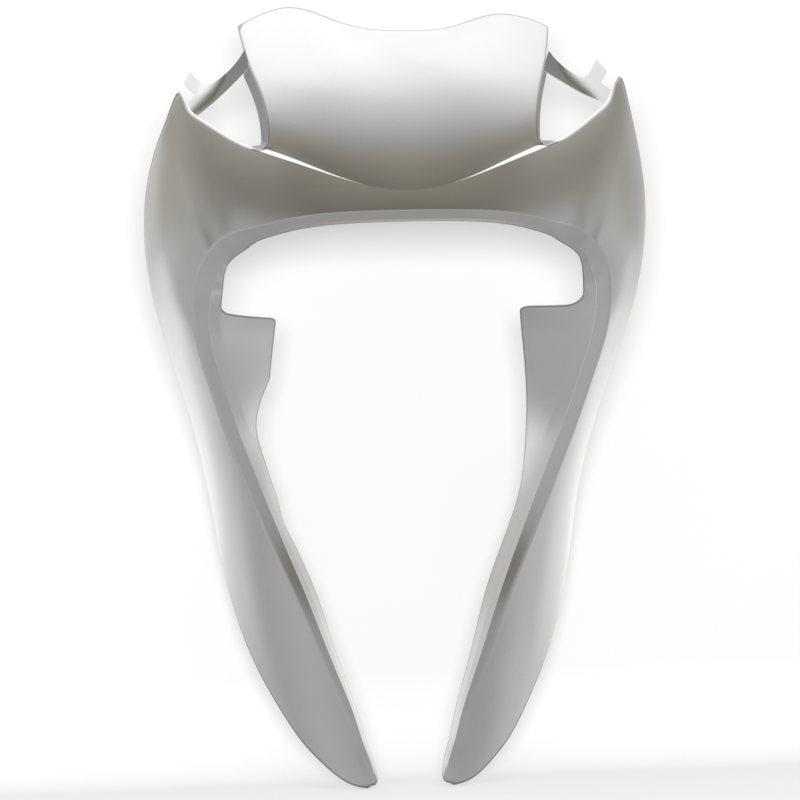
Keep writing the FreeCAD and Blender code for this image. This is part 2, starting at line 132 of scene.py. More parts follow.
# Rise of the top edge of the bib from the middle to the side, percent of the height
BIB_WAVES = {Hand.LEFT: (0.2, 1.2, 3.5, 2.5, 0.6), Hand.RIGHT: (0.2, 0.5, 2.2, 1.5, 0.0)}


@dataclass(frozen=True)
class StrutOutline:
    """Strut and tab seen from the front: half width and height from the nose, percent."""

    top: tuple
    tab: tuple
    low: tuple
    fold: tuple


# The two struts are not quite alike: the right one springs lower and folds sooner
STRUTS = {
    Hand.LEFT: StrutOutline(
        top=((59.2, 20.1), (65.7, 17.4), (73.4, 15.7)),
        tab=((76.6, 16.3), (80.1, 17.9), (83.0, 16.2), (78.4, 14.6), (82.6, 13.2)),
        low=((80.4, 11.3), (68.2, 14.5), (57.3, 18.0)),
        fold=((72.9, 15.6), (78.6, 12.0))),
    Hand.RIGHT: StrutOutline(
        top=((59.4, 19.5), (66.4, 17.2), (73.2, 16.1)),
        tab=((75.9, 16.6), (79.7, 18.7), (83.3, 17.0), (80.3, 15.3), (84.3, 14.1)),
        low=((84.0, 11.8), (70.5, 14.4), (57.0, 17.1)),
        fold=((69.3, 16.6), (73.5, 14.0))),
}

# How far the tip of each wing stands across and up from an even pair
TIP_SHIFTS = {Hand.LEFT: (0.0029, 0.0, -0.0024), Hand.RIGHT: (0.0014, 0.0, 0.0050)}
TIP_SPREAD = (1.0, 0.6, 0.2)

# Extra width of the strip round the upper corners of the opening, from the station under the shelf
# to the end of the bib, percent of the half width
CORNER_STRIPS = {
    Hand.LEFT: (0.4, 1.0, 1.7, 1.9, 2.4, 3.0, 3.3, 3.4, 3.4, 3.3, 2.1, 0.2),
    Hand.RIGHT: (0.0, 0.2, 0.2, 0.4, 0.6, 1.2, 1.8, 2.0, 2.1, 2.1, 1.5, 0.2),
}


def ease(value: Amount) -> Amount:
    """Smooth step from 0 to 1, held flat outside.

    Args:
        value: number or array.

    Returns:
        The eased number or array.
    """
    held = np.clip(value, 0.0, 1.0)
    return held * held * (3.0 - 2.0 * held)


def ease_over(value: Amount, run: tuple) -> Amount:
    """Smooth step from 0 at the start of a run to 1 at its end.

    Args:
        value: number or array.
        run: start and end.

    Returns:
        The eased number or array.
    """
    return ease((value - run[0]) / (run[1] - run[0]))


def mix(first: Amount, second: Amount, share: Amount) -> Amount:
    """Plain blend of two values or points.

    Args:
        first: value at share 0.
        second: value at share 1.
        share: how far along.

    Returns:
        The blended value.
    """
    return first * (1.0 - share) + second * share


def unit(vector: np.ndarray) -> np.ndarray:
    """Vectors of length one.

    Args:
        vector: array whose last axis holds x, y and z.

    Returns:
        The same directions at length one.
    """
    return vector / np.maximum(np.linalg.norm(vector, axis=-1, keepdims=True), 1e-12)


def spline(points: np.ndarray, knots: np.ndarray, at: np.ndarray) -> np.ndarray:
    """Smooth curve through points, with end slopes from the nearest three.

    Args:
        points: values at the knots, first axis along the curve.
        knots: rising parameters of the points.
        at: parameters to read.

    Returns:
        Values at those parameters.
    """
    count = len(knots)
    step = np.diff(knots)
    flat = points.reshape(count, -1)
    rise = np.diff(flat, axis=0) / step[:, None]
    system = np.zeros((count, count))
    right = np.zeros_like(flat)
    system[0, 0] = system[-1, -1] = 1.0
    right[0] = rise[0] - (rise[1] - rise[0]) * step[0] / (step[0] + step[1])
    right[-1] = rise[-1] + (rise[-1] - rise[-2]) * step[-1] / (step[-1] + step[-2])
    for i in range(1, count - 1):
        system[i, i - 1] = 1.0 / step[i - 1]
        system[i, i] = 2.0 * (1.0 / step[i - 1] + 1.0 / step[i])
        system[i, i + 1] = 1.0 / step[i]
        right[i] = 3.0 * (rise[i - 1] / step[i - 1] + rise[i] / step[i])
    slope = np.linalg.solve(system, right)
    span = np.clip(np.searchsorted(knots, at, side="right") - 1, 0, count - 2)
    share = ((at - knots[span]) / step[span])[:, None]
    size = step[span][:, None]
    low, high = flat[span], flat[span + 1]
    value = (
        low * (1 + 2 * share) * (1 - share) ** 2
        + high * share ** 2 * (3 - 2 * share)
        + slope[span] * size * share * (1 - share) ** 2
        - slope[span + 1] * size * share ** 2 * (1 - share)
    )
    return value.reshape((len(at),) + points.shape[1:])


def stand(name: str, data: bpy.types.ID) -> bpy.types.Object:
    """Stands a new object in the scene, at the origin.

    Args:
        name: name of the object.
        data: its mesh, lamp or camera.

    Returns:
        The object.
    """
    made = bpy.data.objects.new(name, data)
    bpy.context.scene.collection.objects.link(made)
    return made


def shade(mesh: bpy.types.Mesh, angle: float) -> None:
    """Shades a mesh smooth, with sharp edges past an angle.

    Args:
        mesh: the mesh.
        angle: degrees between faces.
    """
    mesh.polygons.foreach_set("use_smooth", [True] * len(mesh.polygons))
    mesh.set_sharp_from_angle(angle=math.radians(angle))


def dress(piece: bpy.types.Object) -> bpy.types.Object:
    """Hangs a piece on the body, keeps it out of glossy rays and logs its faces.

    Args:
        piece: finished piece at the origin.

    Returns:
        The same piece.
    """
    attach(piece, BODY)
    piece.visible_glossy = False
    LOG.info("%s: %d faces", piece.name, len(piece.data.polygons))
    return piece


def grow(piece: bpy.types.Object, tree: bpy.types.NodeTree, inputs: dict) -> None:
    """Runs a geometry tree on an object and keeps the result as its plain mesh.

    Args:
        piece: object that holds the points or the path.
        tree: the geometry nodes.
        inputs: values by the names of the tree's inputs.
    """
    modifier = piece.modifiers.new(tree.name, "NODES")
    modifier.node_group = tree
    for item in tree.interface.items_tree:
        if item.item_type == "SOCKET" and item.in_out == "INPUT" and item.name in inputs:
            modifier[item.identifier] = inputs[item.name]
    bpy.context.view_layer.update()
    seen = piece.evaluated_get(bpy.context.evaluated_depsgraph_get())
    made = bpy.data.meshes.new_from_object(seen)
    piece.modifiers.remove(modifier)
    piece.data = made
    made.name = piece.name
    shape = bmesh.new()
    shape.from_mesh(made)
    bmesh.ops.recalc_face_normals(shape, faces=shape.faces)
    shape.to_mesh(made)
    shape.free()
    shade(made, GROWN_SHARP)


class NodeDesk:
    """Small helper that places and wires nodes in one tree."""

    def __init__(self, tree: bpy.types.NodeTree) -> None:
        """Keeps the tree.

        Args:
            tree: node tree to work in.
        """
        self.tree = tree

    @classmethod
    def fresh(cls, owner: bpy.types.ID) -> "NodeDesk":
        """Desk on the emptied nodes of a material or a world.

        Args:
            owner: the material or world.

        Returns:
            The desk.
        """
        owner.use_nodes = True
        owner.node_tree.nodes.clear()
        return cls(owner.node_tree)

    @classmethod
    def group(cls, name: str, kind: str, inputs: dict, outputs: dict) -> "NodeDesk":
        """Desk on a new node group.

        Args:
            name: name of the group.
            kind: Geometry or Shader.
            inputs: kind of each input socket by its name.
            outputs: kind of each output socket by its name.

        Returns:
            The desk.
        """
        tree = bpy.data.node_groups.new(name, f"{kind}NodeTree")
        for way, sockets in (("INPUT", inputs), ("OUTPUT", outputs)):
            for label, socket in sockets.items():
                tree.interface.new_socket(label, in_out=way, socket_type=f"NodeSocket{socket}")
        return cls(tree)

    def add(self, kind: str, inputs: dict | None = None, **settings: object) -> bpy.types.Node:
        """Places a node.

        Args:
            kind: Blender's name of the node type.
            inputs: values or output sockets for its inputs, by name or index.
            settings: properties of the node.

        Returns:
            The node.
        """
        node = self.tree.nodes.new(kind)
        for name, value in settings.items():
            setattr(node, name, value)
        for name, value in (inputs or {}).items():
            if isinstance(value, bpy.types.NodeSocket):
                self.tree.links.new(value, node.inputs[name])
            else:
                node.inputs[name].default_value = value
        return node


@dataclass
class FairingForm:
    """Curves that the moulding is drawn on, in metres from the middle of the upper boss mouths."""

    half_width: float = 0.1965
    height: float = 0.591
    depth: float = 0.195
    wall: float = 0.0025
    nose_ahead: float = 0.062
    nose_below: float = 0.060
    crease_round: float = 0.002
    round_share: float = 0.3
    arch_sharpness: float = 0.3
    sharp_run: tuple = (CORNER - 2, CORNER + 1)
    arch_power: int = 3
    strip_width: float = 0.0102
    arch_strip_width: float = 0.006
    strip_fall: float = 0.003
    arch_strip_fall: float = 0.008
    strip_taper: float = 0.72
    fade_top: float = -0.245
    fade_end: float = -0.372
    lip_width: float = 0.009
    arch_lip_width: float = 0.0030
    lip_fall: float = 0.008
    arch_lip_fall: float = 0.006
    arch_lip_start: float = 1.8
    middle_lip: float = 0.45
    middle_run: tuple = (CORNER, CORNER + 4)
    corner_fall: float = 0.6
    flange_fall: float = 0.034
    tip_fall: float = 0.002
    tip_reach: int = 2
    tip_passes: int = 3
    corner_passes: int = 4
    column_pitch: float = 0.0036
    rows: np.ndarray = field(init=False)
    inner_rows: np.ndarray = field(init=False)
    flange_edge: np.ndarray = field(init=False)
    lengths: np.ndarray = field(init=False)
    columns: np.ndarray = field(init=False)
    column_of: list = field(init=False)

    def __post_init__(self) -> None:
        """Works the curves out from the sizes."""
        half = [self.place(s[0]) for s in STATIONS]
        fold = [self.place(s[1]) for s in STATIONS]
        turn = np.array([-1.0, 1.0, 1.0])
        self.outer = np.array([p * turn for p in half] + half[-2::-1])
        self.crease = np.array([p * turn for p in fold] + fold[-2::-1])
        for hand, tip in ((Hand.LEFT, WING_TIP), (Hand.RIGHT, len(self.outer) - 1 - WING_TIP)):
            for step in range(1 - len(TIP_SPREAD), len(TIP_SPREAD)):
                self.outer[tip + step] += np.array(TIP_SHIFTS[hand]) * TIP_SPREAD[abs(step)]
        self.crown = [s[2] for s in STATIONS] + [s[2] for s in STATIONS[-2::-1]]
        self.flange = [s[3] * self.half_width / 100 for s in STATIONS + STATIONS[-2::-1]]
        self.count = len(self.outer)
        self.last = self.count - 1
        made = [self.section(i) for i in range(self.count)]
        self.rows = np.array([m[0] for m in made]).transpose(1, 0, 2)
        self.flange_edge = np.array([m[1] for m in made])
        self.soften()
        self.inner_rows = self.push_in(self.rows)
        pair = self.rows[[Row.EDGE, Row.ROUND_START]]
        steps = np.linalg.norm(np.diff(pair, axis=1), axis=2).mean(axis=0)
        self.lengths = np.concatenate([[0.0], np.cumsum(steps)])
        columns, self.column_of = [0.0], [0]
        for start, end in zip(self.lengths, self.lengths[1:]):
            parts = max(2, round((end - start) / self.column_pitch))
            columns += [start + (end - start) * (k + 1) / parts for k in range(parts)]
            self.column_of.append(len(columns) - 1)
        self.columns = np.array(columns)

    def place(self, share: tuple) -> np.ndarray:
        """Point at percent of the overall sizes, measured from the nose.

        Args:
            share: percent across, back and up.

        Returns:
            The point in metres.
        """
        across = share[0] * self.half_width / 100
        back = share[1] * self.depth / 100 - self.nose_ahead
        return np.array([across, back, share[2] * self.height / 100 - self.nose_below])

    def along(self, points: np.ndarray, i: int) -> np.ndarray:
        """Direction of a row of points at one of them.

        Args:
            points: row of points.
            i: which point.

        Returns:
            Direction of length one.
        """
        return unit(points[min(i + 1, len(points) - 1)] - points[max(i - 1, 0)])

    def section(self, i: int) -> tuple:
        """Nodes across the skin at one station.

        Args:
            i: station, left leg tip to right leg tip.

        Returns:
            The nodes from outer edge to lip, and the free edge of the flange.
        """
        edge, fold, flange = self.outer[i], self.crease[i], self.flange[i]
        chord = fold - edge
        reach = np.linalg.norm(chord)
        middle = (self.outer + self.crease) / 2
        # The face is a parabola over the chord, read at its thirds
        lift = unit(np.cross(self.along(middle, i), chord)) * (-4 * self.crown[i] * reach)
        one = mix(edge, fold, 1 / 3) + lift * (2 / 9)
        two = mix(edge, fold, 2 / 3) + lift * (2 / 9)
        way = self.along(self.crease, i)
        inward = unit(np.array([way[2], 0.0, -way[0]]))
        from_tip = min(i, self.last - i)
        arch = 1 - abs(inward[0]) ** self.arch_power if from_tip > SHELF else 0.0
        level = fold[2] + self.nose_below
        low = self.crease[0][2] + self.nose_below
        fade = ease((self.fade_top - level) / (self.fade_top - self.fade_end))
        taper = min(1.0, max(0.0, (self.fade_top - level) / (self.fade_top - low)))
        width = mix(self.strip_width, self.arch_strip_width, arch) * (1 - self.strip_taper * taper)
        fall = mix(self.strip_fall, self.arch_strip_fall, arch)
        extra = self.corner_extra(i)
        fall = fall * (1 + self.corner_fall * extra / width) * (1 - fade)
        width += extra
        strip = fold + inward * width + np.array([0.0, fall, 0.0])
        sharp = mix(1.0, self.arch_sharpness, ease_over(from_tip, self.sharp_run))
        most = self.round_share * min(reach, np.linalg.norm(strip - fold))
        turn = min(self.crease_round * sharp, most)
        start = fold - unit(fold - two) * turn
        end = fold + unit(strip - fold) * turn
        round_middle = mix(mix(start, end, 0.5), fold, 0.5)
        if flange > 0:
            drop = self.crease[0][2] - fold[2]
            leg = math.sqrt(max(0.0, drop / (self.crease[0][2] - self.crease[SHELF][2])))
            back = self.tip_fall + (self.flange_fall - self.tip_fall) * leg
            lip = min(self.lip_width, flange / 2)
            lip_edge = strip + inward * lip + np.array([0.0, back * lip / flange, 0.0])
            free = strip + inward * (flange - extra) + np.array([0.0, back, 0.0])
        else:
            thin = min(1.0, self.arch_lip_start * arch)
            lip = mix(self.lip_width, self.arch_lip_width, thin)
            lip *= mix(1.0, self.middle_lip, ease_over(from_tip, self.middle_run))
            back = mix(self.lip_fall, self.arch_lip_fall, thin)
            lip_edge = strip + inward * lip + np.array([0.0, back, 0.0])
            free = lip_edge
        return np.array([edge, one, two, start, round_middle, end, strip, lip_edge]), free

    def corner_extra(self, i: int) -> float:
        """How much wider the strip is at a station near an upper corner of the opening.

        Args:
            i: station, left leg tip to right leg tip.

        Returns:
            Extra width.
        """
        widths = CORNER_STRIPS[Hand.LEFT if i <= self.last // 2 else Hand.RIGHT]
        place = min(i, self.last - i) - (SHELF - 1)
        return widths[place] * self.half_width / 100 if 0 <= place < len(widths) else 0.0

    def smooth(self, row: Row, near: np.ndarray, passes: int) -> None:
        """Evens one row out at some of its stations.

        Args:
            row: which row.
            near: the stations.
            passes: how often.
        """
        for _ in range(passes):
            old = self.rows[row].copy()
            self.rows[row, near] = old[near] / 2 + (old[near - 1] + old[near + 1]) / 4

    def soften(self) -> None:
        """Evens the wings out under their tips, and strip and lip round the upper corners."""
        tips = np.arange(WING_TIP - self.tip_reach, WING_TIP + self.tip_reach + 1)
        corners = np.arange(SHELF + 2, CORNER)
        for rows, near, passes in (
                ((Row.CROWN_ONE, Row.CROWN_TWO), tips, self.tip_passes),
                ((Row.STRIP, Row.LIP), corners, self.corner_passes)):
            for row in rows:
                self.smooth(row, near, passes)
                self.smooth(row, self.last - near, passes)

    def push_in(self, rows: np.ndarray) -> np.ndarray:
        """Rows moved square off the skin to the back of the wall.

        Args:
            rows: rows of points, outer edge first.

        Returns:
            Rows of the back of the wall.
        """
        moved = np.zeros_like(rows)
        for j in range(len(rows)):
            for i in range(rows.shape[1]):
                way = self.along(rows[j], i)
                sides = []
                if j > 0:
                    sides.append(unit(np.cross(way, rows[j][i] - rows[j - 1][i])))
                if j < len(rows) - 1:
                    sides.append(unit(np.cross(way, rows[j + 1][i] - rows[j][i])))
                both = sides[0] + sides[-1]
                moved[j][i] = rows[j][i] + both * (self.wall / (1 + sides[0] @ sides[-1]))
        return moved

    def read(self, row: np.ndarray, at: np.ndarray) -> np.ndarray:
        """Row of points read at running lengths.

        Args:
            row: one point for each station.
            at: running lengths.

        Returns:
            Points on the smooth curve.
        """
        return spline(row, self.lengths, at)


@dataclass
class Sheet:
    """Wall that grows patch by patch, front and back together, and is closed with rounded rims."""

    bulge: float = 0.0008
    bead: float = 0.003
    rim_steps: int = 10
    rim_reach: float = 0.02
    rolled_from: float = 0.5
    sharp_angle: float = 38.0
    weld_steps: float = 1e7
    front: list = field(default_factory=list)
    back: list = field(default_factory=list)
    quads: list = field(default_factory=list)
    found: dict = field(default_factory=dict)
    beads: dict = field(default_factory=dict)

    def key(self, front: np.ndarray) -> tuple:
        """Rounded place that patches share."""
        return tuple(np.round(front * self.weld_steps).astype(int))

    def roll(self, points: np.ndarray, shares: np.ndarray) -> None:
        """Gives rim points a rolled bead instead of a plain round.

        Args:
            points: points on the shown side.
            shares: how much of the bead each point has.
        """
        for point, share in zip(points, shares):
            self.beads[self.found[self.key(point)]] = share

    def vertex(self, front: np.ndarray, back: np.ndarray) -> int:
        """Index of a point of the wall, shared where patches meet.

        Args:
            front: point on the shown side.
            back: point on the hidden side.

        Returns:
            Index in the lists of points.
        """
        key = self.key(front)
        if key not in self.found:
            self.found[key] = len(self.front)
            self.front.append(front)
            self.back.append(back)
        return self.found[key]

    def add(self, front: np.ndarray, back: np.ndarray) -> None:
        """Adds a patch of quads.

        Args:
            front: grid of points on the shown side.
            back: the same grid on the hidden side.
        """
        rows, columns = front.shape[:2]
        index = [
            [self.vertex(front[i, j], back[i, j]) for j in range(columns)] for i in range(rows)]
        corner = front[:-1, :-1]
        normal = np.cross(front[1:, :-1] - corner, front[:-1, 1:] - corner)
        flip = np.sum(normal * (corner - back[:-1, :-1])) < 0
        for a in range(rows - 1):
            for b in range(columns - 1):
                quad = [index[a][b], index[a + 1][b], index[a + 1][b + 1], index[a][b + 1]]
                ring = [v for n, v in enumerate(quad) if v != quad[n - 1]]
                if len(ring) > 2:
                    self.quads.append(ring[::-1] if flip else ring)

    def close(self, name: str, materials: dict) -> bpy.types.Object:
        """Makes the closed mesh with rounded rims.

        Args:
            name: name of the object.
            materials: material for each side of the wall.

        Returns:
            The object, at the origin.
        """
        count = len(self.front)
        points = [*self.front, *self.back]
        faces = [list(q) for q in self.quads] + [[v + count for v in q[::-1]] for q in self.quads]
        sides = [Face.SHOWN.value] * len(self.quads) + [Face.HIDDEN.value] * len(self.quads)
        edges = {(q[n - 1], q[n]) for q in self.quads for n in range(len(q))}
        rims = sorted(e for e in edges if (e[1], e[0]) not in edges)
        profiles = self.rim_profiles(rims, points)
        for a, b in rims:
            one, two = profiles[a], profiles[b]
            for k in range(self.rim_steps):
                faces.append([two[k], one[k], one[k + 1], two[k + 1]])
                sides.append(Face.SHOWN.value if k < self.rim_steps - 1 else Face.HIDDEN.value)
        mesh = bpy.data.meshes.new(name)
        mesh.from_pydata([tuple(p) for p in points], [], faces)
        for face in Face:
            mesh.materials.append(materials[face])
        mesh.polygons.foreach_set("material_index", sides)
        # Rolled beads are left out of the rim marks, so the painted rim shade, the wear and the
        # overspray stay off them
        plain = [v for v in profiles if self.beads.get(v, 0.0) < self.rolled_from]
        self.mark_rims(mesh, [points[v] for v in plain])
        mesh.validate()
        shade(mesh, self.sharp_angle)
        return stand(name, mesh)

    def rim_profiles(self, rims: list, points: list) -> dict:
        """Adds the points that carry each free rim round from the shown side to the hidden one.

        Args:
            rims: free edges, each as two indices.
            points: points of the mesh, which the new ones join.

        Returns:
            Indices round the rim at each of its points.
        """
        front, back = np.array(self.front), np.array(self.back)
        ways = {}
        for a, b in rims:
            normal = unit(front[a] - back[a] + front[b] - back[b])
            way = np.cross(unit(front[b] - front[a]), normal)
            for v in (a, b):
                ways[v] = ways.get(v, 0.0) + way
        profiles = {}
        for v, way in ways.items():
            line = [v]
            middle, half = (front[v] + back[v]) / 2, (front[v] - back[v]) / 2
            radius, out = -unit(half) * self.bead, unit(way)
            for k in range(1, self.rim_steps):
                turn = math.pi * k / self.rim_steps
                plain = middle + half * math.cos(turn) + out * self.bulge * math.sin(turn)
                rolled = front[v] + radius * (1 - math.cos(turn)) + out * self.bead * math.sin(turn)
                points.append(mix(plain, rolled, self.beads.get(v, 0.0)))
                line.append(len(points) - 1)
            profiles[v] = line + [v + len(front)]
        return profiles

    def mark_rims(self, mesh: bpy.types.Mesh, rim: list) -> None:
        """Stores how near each point is to a free rim, 1 on the rim; the paint's painted rim shade
        follows it, and so do the wear and the overspray.

        Args:
            mesh: the closed mesh.
            rim: points on the free rims.
        """
        tree = KDTree(len(rim))
        for n, point in enumerate(rim):
            tree.insert(Vector(point), n)
        tree.balance()
        near = [max(0.0, 1.0 - tree.find(v.co)[2] / self.rim_reach) for v in mesh.vertices]
        mesh.attributes.new("rim", "FLOAT", "POINT").data.foreach_set("value", near)


@dataclass
class Skin:
    """The painted shell: wings, brow, legs with their flanges, and the bib."""

    form: FairingForm
    face_steps: int = 22
    round_steps: int = 6
    strip_steps: int = 4
    foot_steps: int = 2
    lip_steps: int = 6
    strip_step: float = 0.0008
    strip_step_run: float = 0.0005
    shelf_tilts: tuple = (18.0, 5.0)
    tip_round: float = 0.005
    tip_blend: float = 0.022
    shelf_hollows: tuple = (0.0085, 0.016)
    shelf_rounds: tuple = (0.0055, 0.0085)
    shelf_blend: float = 0.060
    flange_steps: int = 18
    scallops: tuple = ((-0.139, 0.084, 0.0165), (-0.232, 0.034, 0.0045))
    scallop_along: tuple = (0.0, 0.12, 0.36, 0.62, 1.0)
    scallop_bite: tuple = (0.0, 0.45, 1.0, 0.75, 0.0)
    ledge_fall: float = 0.005
    ledge_rise: float = 0.004
    ledge_start: float = 0.3
    window_round: float = 0.007
    bib_steps: int = 44
    bib_crowding: float = 1.5
    bib_row_drop: float = 0.0205
    bib_pull_run: tuple = (0.5, 1.0)
    bib_even_columns: int = 3
    ledge_steps: int = 4
    wave_lean: float = 0.6
    wave_blend: float = 0.6
    bead_inset: float = 0.7
    bead_blend: float = 3.0
    sheet: Sheet = field(default_factory=Sheet)
    window_rims: dict = field(default_factory=dict)
    bib_reach: float = field(init=False)

    def weights(self) -> np.ndarray:
        """Shares of the rows that make each line across the band.

        Returns:
            Table of shares, one line for each point across, rows and the foot of the step across.
        """
        lines = []
        for t in np.linspace(0, 1, self.face_steps + 1):
            cubic = [
                (1 - t) * (1 - 3 * t) * (1 - 1.5 * t), 9 * t * (1 - t) * (1 - 1.5 * t),
                4.5 * t * (1 - t) * (3 * t - 1), t * (3 * t - 1) * (1.5 * t - 0.5)]
            cubic[3] = 1 - sum(cubic[:3])
            lines.append(cubic + [0.0] * 5)
        for t in np.linspace(0, 1, self.round_steps + 1)[1:]:
            bend = [(1 - t) * (1 - 2 * t), 4 * t * (1 - t), t * (2 * t - 1)]
            lines.append([0, 0, 0, *bend, 0, 0, 0])
        for t in np.linspace(0, 1, self.strip_steps + 1)[1:]:
            lines.append([0, 0, 0, 0, 0, 1 - t, t, 0, 0])
        for t in np.linspace(0, 1, self.foot_steps + 1)[1:]:
            lines.append([0, 0, 0, 0, 0, 0, 1 - t, 0, t])
        for t in np.linspace(0, 1, self.lip_steps + 1)[1:]:
            lines.append([0, 0, 0, 0, 0, 0, 0, t, 1 - t])
        return np.array(lines)

    def lines(self, at: np.ndarray) -> tuple:
        """Rows of both sides of the band, with the foot of the little step beside the strip.

        Args:
            at: running lengths to read.

        Returns:
            Rows of the front and of the back.
        """
        form = self.form
        front = np.array([form.read(row, at) for row in form.rows])
        back = np.array([form.read(row, at) for row in form.inner_rows])
        into = unit(back[Row.STRIP] - front[Row.STRIP])
        run = unit(front[Row.LIP] - front[Row.STRIP])
        foot = front[Row.STRIP] + into * self.strip_step + run * self.strip_step_run
        inner_foot = back[Row.STRIP] + unit(back[Row.LIP] - back[Row.STRIP]) * self.strip_step_run
        return np.concatenate([front, foot[None]]), np.concatenate([back, inner_foot[None]])

    def tip_shift(self, inside: np.ndarray) -> np.ndarray:
        """How far up the leg a line ends, for the rounded inner corner of the tip.

        Args:
            inside: distance of each line from the free edge of the flange.

        Returns:
            Lengths along the leg.
        """
        short = np.clip(self.tip_round - inside, 0.0, self.tip_round)
        return self.tip_round - np.sqrt(self.tip_round ** 2 - short ** 2)

    def band(self) -> tuple:
        """Grids of the band of wings, brow and legs.

        Returns:
            Front and back grids, columns first.
        """
        form = self.form
        table = self.weights()
        rows, back_rows = self.lines(form.columns)
        front = np.einsum("vr,rkx->kvx", table, rows)
        back = np.einsum("vr,rkx->kvx", table, back_rows)
        steps = np.linalg.norm(np.diff(front[0], axis=0), axis=1)
        flange = np.linalg.norm(form.flange_edge[0] - form.rows[Row.LIP][0])
        inside = flange + np.append(np.cumsum(steps[::-1])[::-1], 0.0)
        near_start = 1 - ease(form.columns / self.tip_blend)
        near_end = near_start[::-1]
        for line, shift in enumerate(self.tip_shift(inside)):
            if shift > 0:
                rows, back_rows = self.lines(form.columns + shift * (near_start - near_end))
                front[:, line] = np.einsum("r,rkx->kx", table[line], rows)
                back[:, line] = np.einsum("r,rkx->kx", table[line], back_rows)
        return front, back

    def bite(self, level: np.ndarray) -> np.ndarray:
        """How deep the scallops cut into the flange edge.

        Args:
            level: heights under the nose.

        Returns:
            Depths of the cut.
        """
        depth = np.zeros_like(level)
        for top, length, bite in self.scallops:
            share = np.clip((top - level) / length, 0.0, 1.0)
            shape = spline(np.array(self.scallop_bite), np.array(self.scallop_along), share.ravel())
            depth = np.maximum(depth, np.clip(shape.reshape(share.shape), 0, 1) * bite)
        return depth

    def add_flange(self, hand: Hand, front: np.ndarray, back: np.ndarray) -> None:
        """Adds the wide flange of one leg, with its shelf.

        Args:
            hand: which leg.
            front: front grid of the band.
            back: back grid of the band.
        """
        form = self.form
        left = hand is Hand.LEFT
        order = 1 if left else -1
        station = np.arange(SHELF + 1)
        knots, columns = form.lengths, form.columns
        if not left:
            station = form.last - station
            knots, columns = (knots[-1] - knots)[::-1], (columns[-1] - columns)[::-1]
        length = knots[:SHELF + 1]
        lip_line = form.rows[Row.LIP][::order]
        lip_back = form.inner_rows[Row.LIP][::order]
        reach = form.flange_edge[station] - form.rows[Row.LIP][station]
        way = np.gradient(form.crease[station], axis=0)
        square = unit(np.cross(way, reach)) * order
        middle = SHELF // 2
        through = form.inner_rows[Row.LIP][station] - form.rows[Row.LIP][station]
        if square[middle] @ through[middle] < 0:
            square = -square
        back_reach = form.flange_edge[station] + square * form.wall
        back_reach -= form.inner_rows[Row.LIP][station]
        shelf = length[-1]
        tilt, fillet, nose = [
            pair[0 if left else 1]
            for pair in (self.shelf_tilts, self.shelf_hollows, self.shelf_rounds)]
        top = int(np.searchsorted(columns, shelf + fillet))
        run = columns[:top + 1]
        width = np.linalg.norm(reach[-1])
        across = (1 - np.cos(np.linspace(0, math.pi, self.flange_steps + 1))) / 2
        away = across * width
        hollow = np.clip(fillet - away, 0, None)
        rise = fillet - np.sqrt(fillet ** 2 - hollow ** 2)
        corner = np.clip(away - (width - nose), 0, nose)
        sink = nose - np.sqrt(nose ** 2 - corner ** 2)
        ends = shelf + rise - sink - away * math.tan(math.radians(tilt))
        ends[0] = run[-1]
        pull = ease((run - (run[-1] - self.shelf_blend)) / self.shelf_blend)
        spot = run[:, None] - pull[:, None] * (run[-1] - ends)[None, :]
        short = self.tip_shift((1 - across) * np.linalg.norm(reach[0]))
        spot = spot + (1 - ease(run / self.tip_blend))[:, None] * short[None, :]
        held = np.minimum(spot, shelf).ravel()
        shape = spot.shape + (3,)
        lip = spline(lip_line, knots, spot.ravel()).reshape(shape)
        lip_in = spline(lip_back, knots, spot.ravel()).reshape(shape)
        out = spline(reach, length, held).reshape(shape)
        out_in = spline(back_reach, length, held).reshape(shape)
        keep = np.ones(spot.shape)
        if left:
            level = lip[..., 2] + form.nose_below
            keep = 1 - self.bite(level) / np.linalg.norm(out, axis=2)
        share = (across[None, :] * keep)[..., None]
        shown, hidden = lip + out * share, lip_in + out_in * share
        edge = slice(0, top + 1) if left else slice(None, -top - 2, -1)
        shown[:, 0], hidden[:, 0] = front[edge, -1], back[edge, -1]
        self.sheet.add(shown, hidden)

    def bib_point(self, share: np.ndarray, level: np.ndarray) -> np.ndarray:
        """Points of the bib.

        Args:
            share: place across, 1 at the window corner.
            level: place down the rows, 0 at the top edge and BIB_FOOT at the foot.

        Returns:
            Points, in the shape of the arguments.
        """
        form = self.form
        bend = share * share
        marks = np.abs(form.outer[CORNER:form.last // 2 + 1, 0])[::-1] / abs(form.outer[CORNER, 0])
        spot = np.clip(np.abs(share), 0, 1).ravel()
        left, right = [
            spline(np.array(BIB_WAVES[hand]), marks, spot).reshape(share.shape) for hand in Hand]
        wave = mix(left, right, ease(0.5 + share / self.wave_blend))
        rows = []
        for n, (centre, flank) in enumerate(BIB_ROWS):
            across = flank[0] * share * form.half_width / 100
            up = mix(centre[1], flank[2], bend) + (wave if n == 0 else 0.0)
            back = mix(centre[0], flank[1], bend) * form.depth / 100 - form.nose_ahead
            if n == 0:
                back = back + wave * self.wave_lean * form.height / 100
            rows.append(np.stack([across, back, up * form.height / 100 - form.nose_below], axis=-1))
        rows.append(self.foot(share))
        flat = np.array(rows).reshape(BIB_FOOT + 1, -1, 3)
        made = np.zeros(flat.shape[1:])
        levels = level.ravel()
        for value in np.unique(levels):
            pick = levels == value
            made[pick] = spline(flat[:, pick], np.arange(BIB_FOOT + 1.0), np.array([value]))[0]
        return made.reshape(share.shape + (3,))

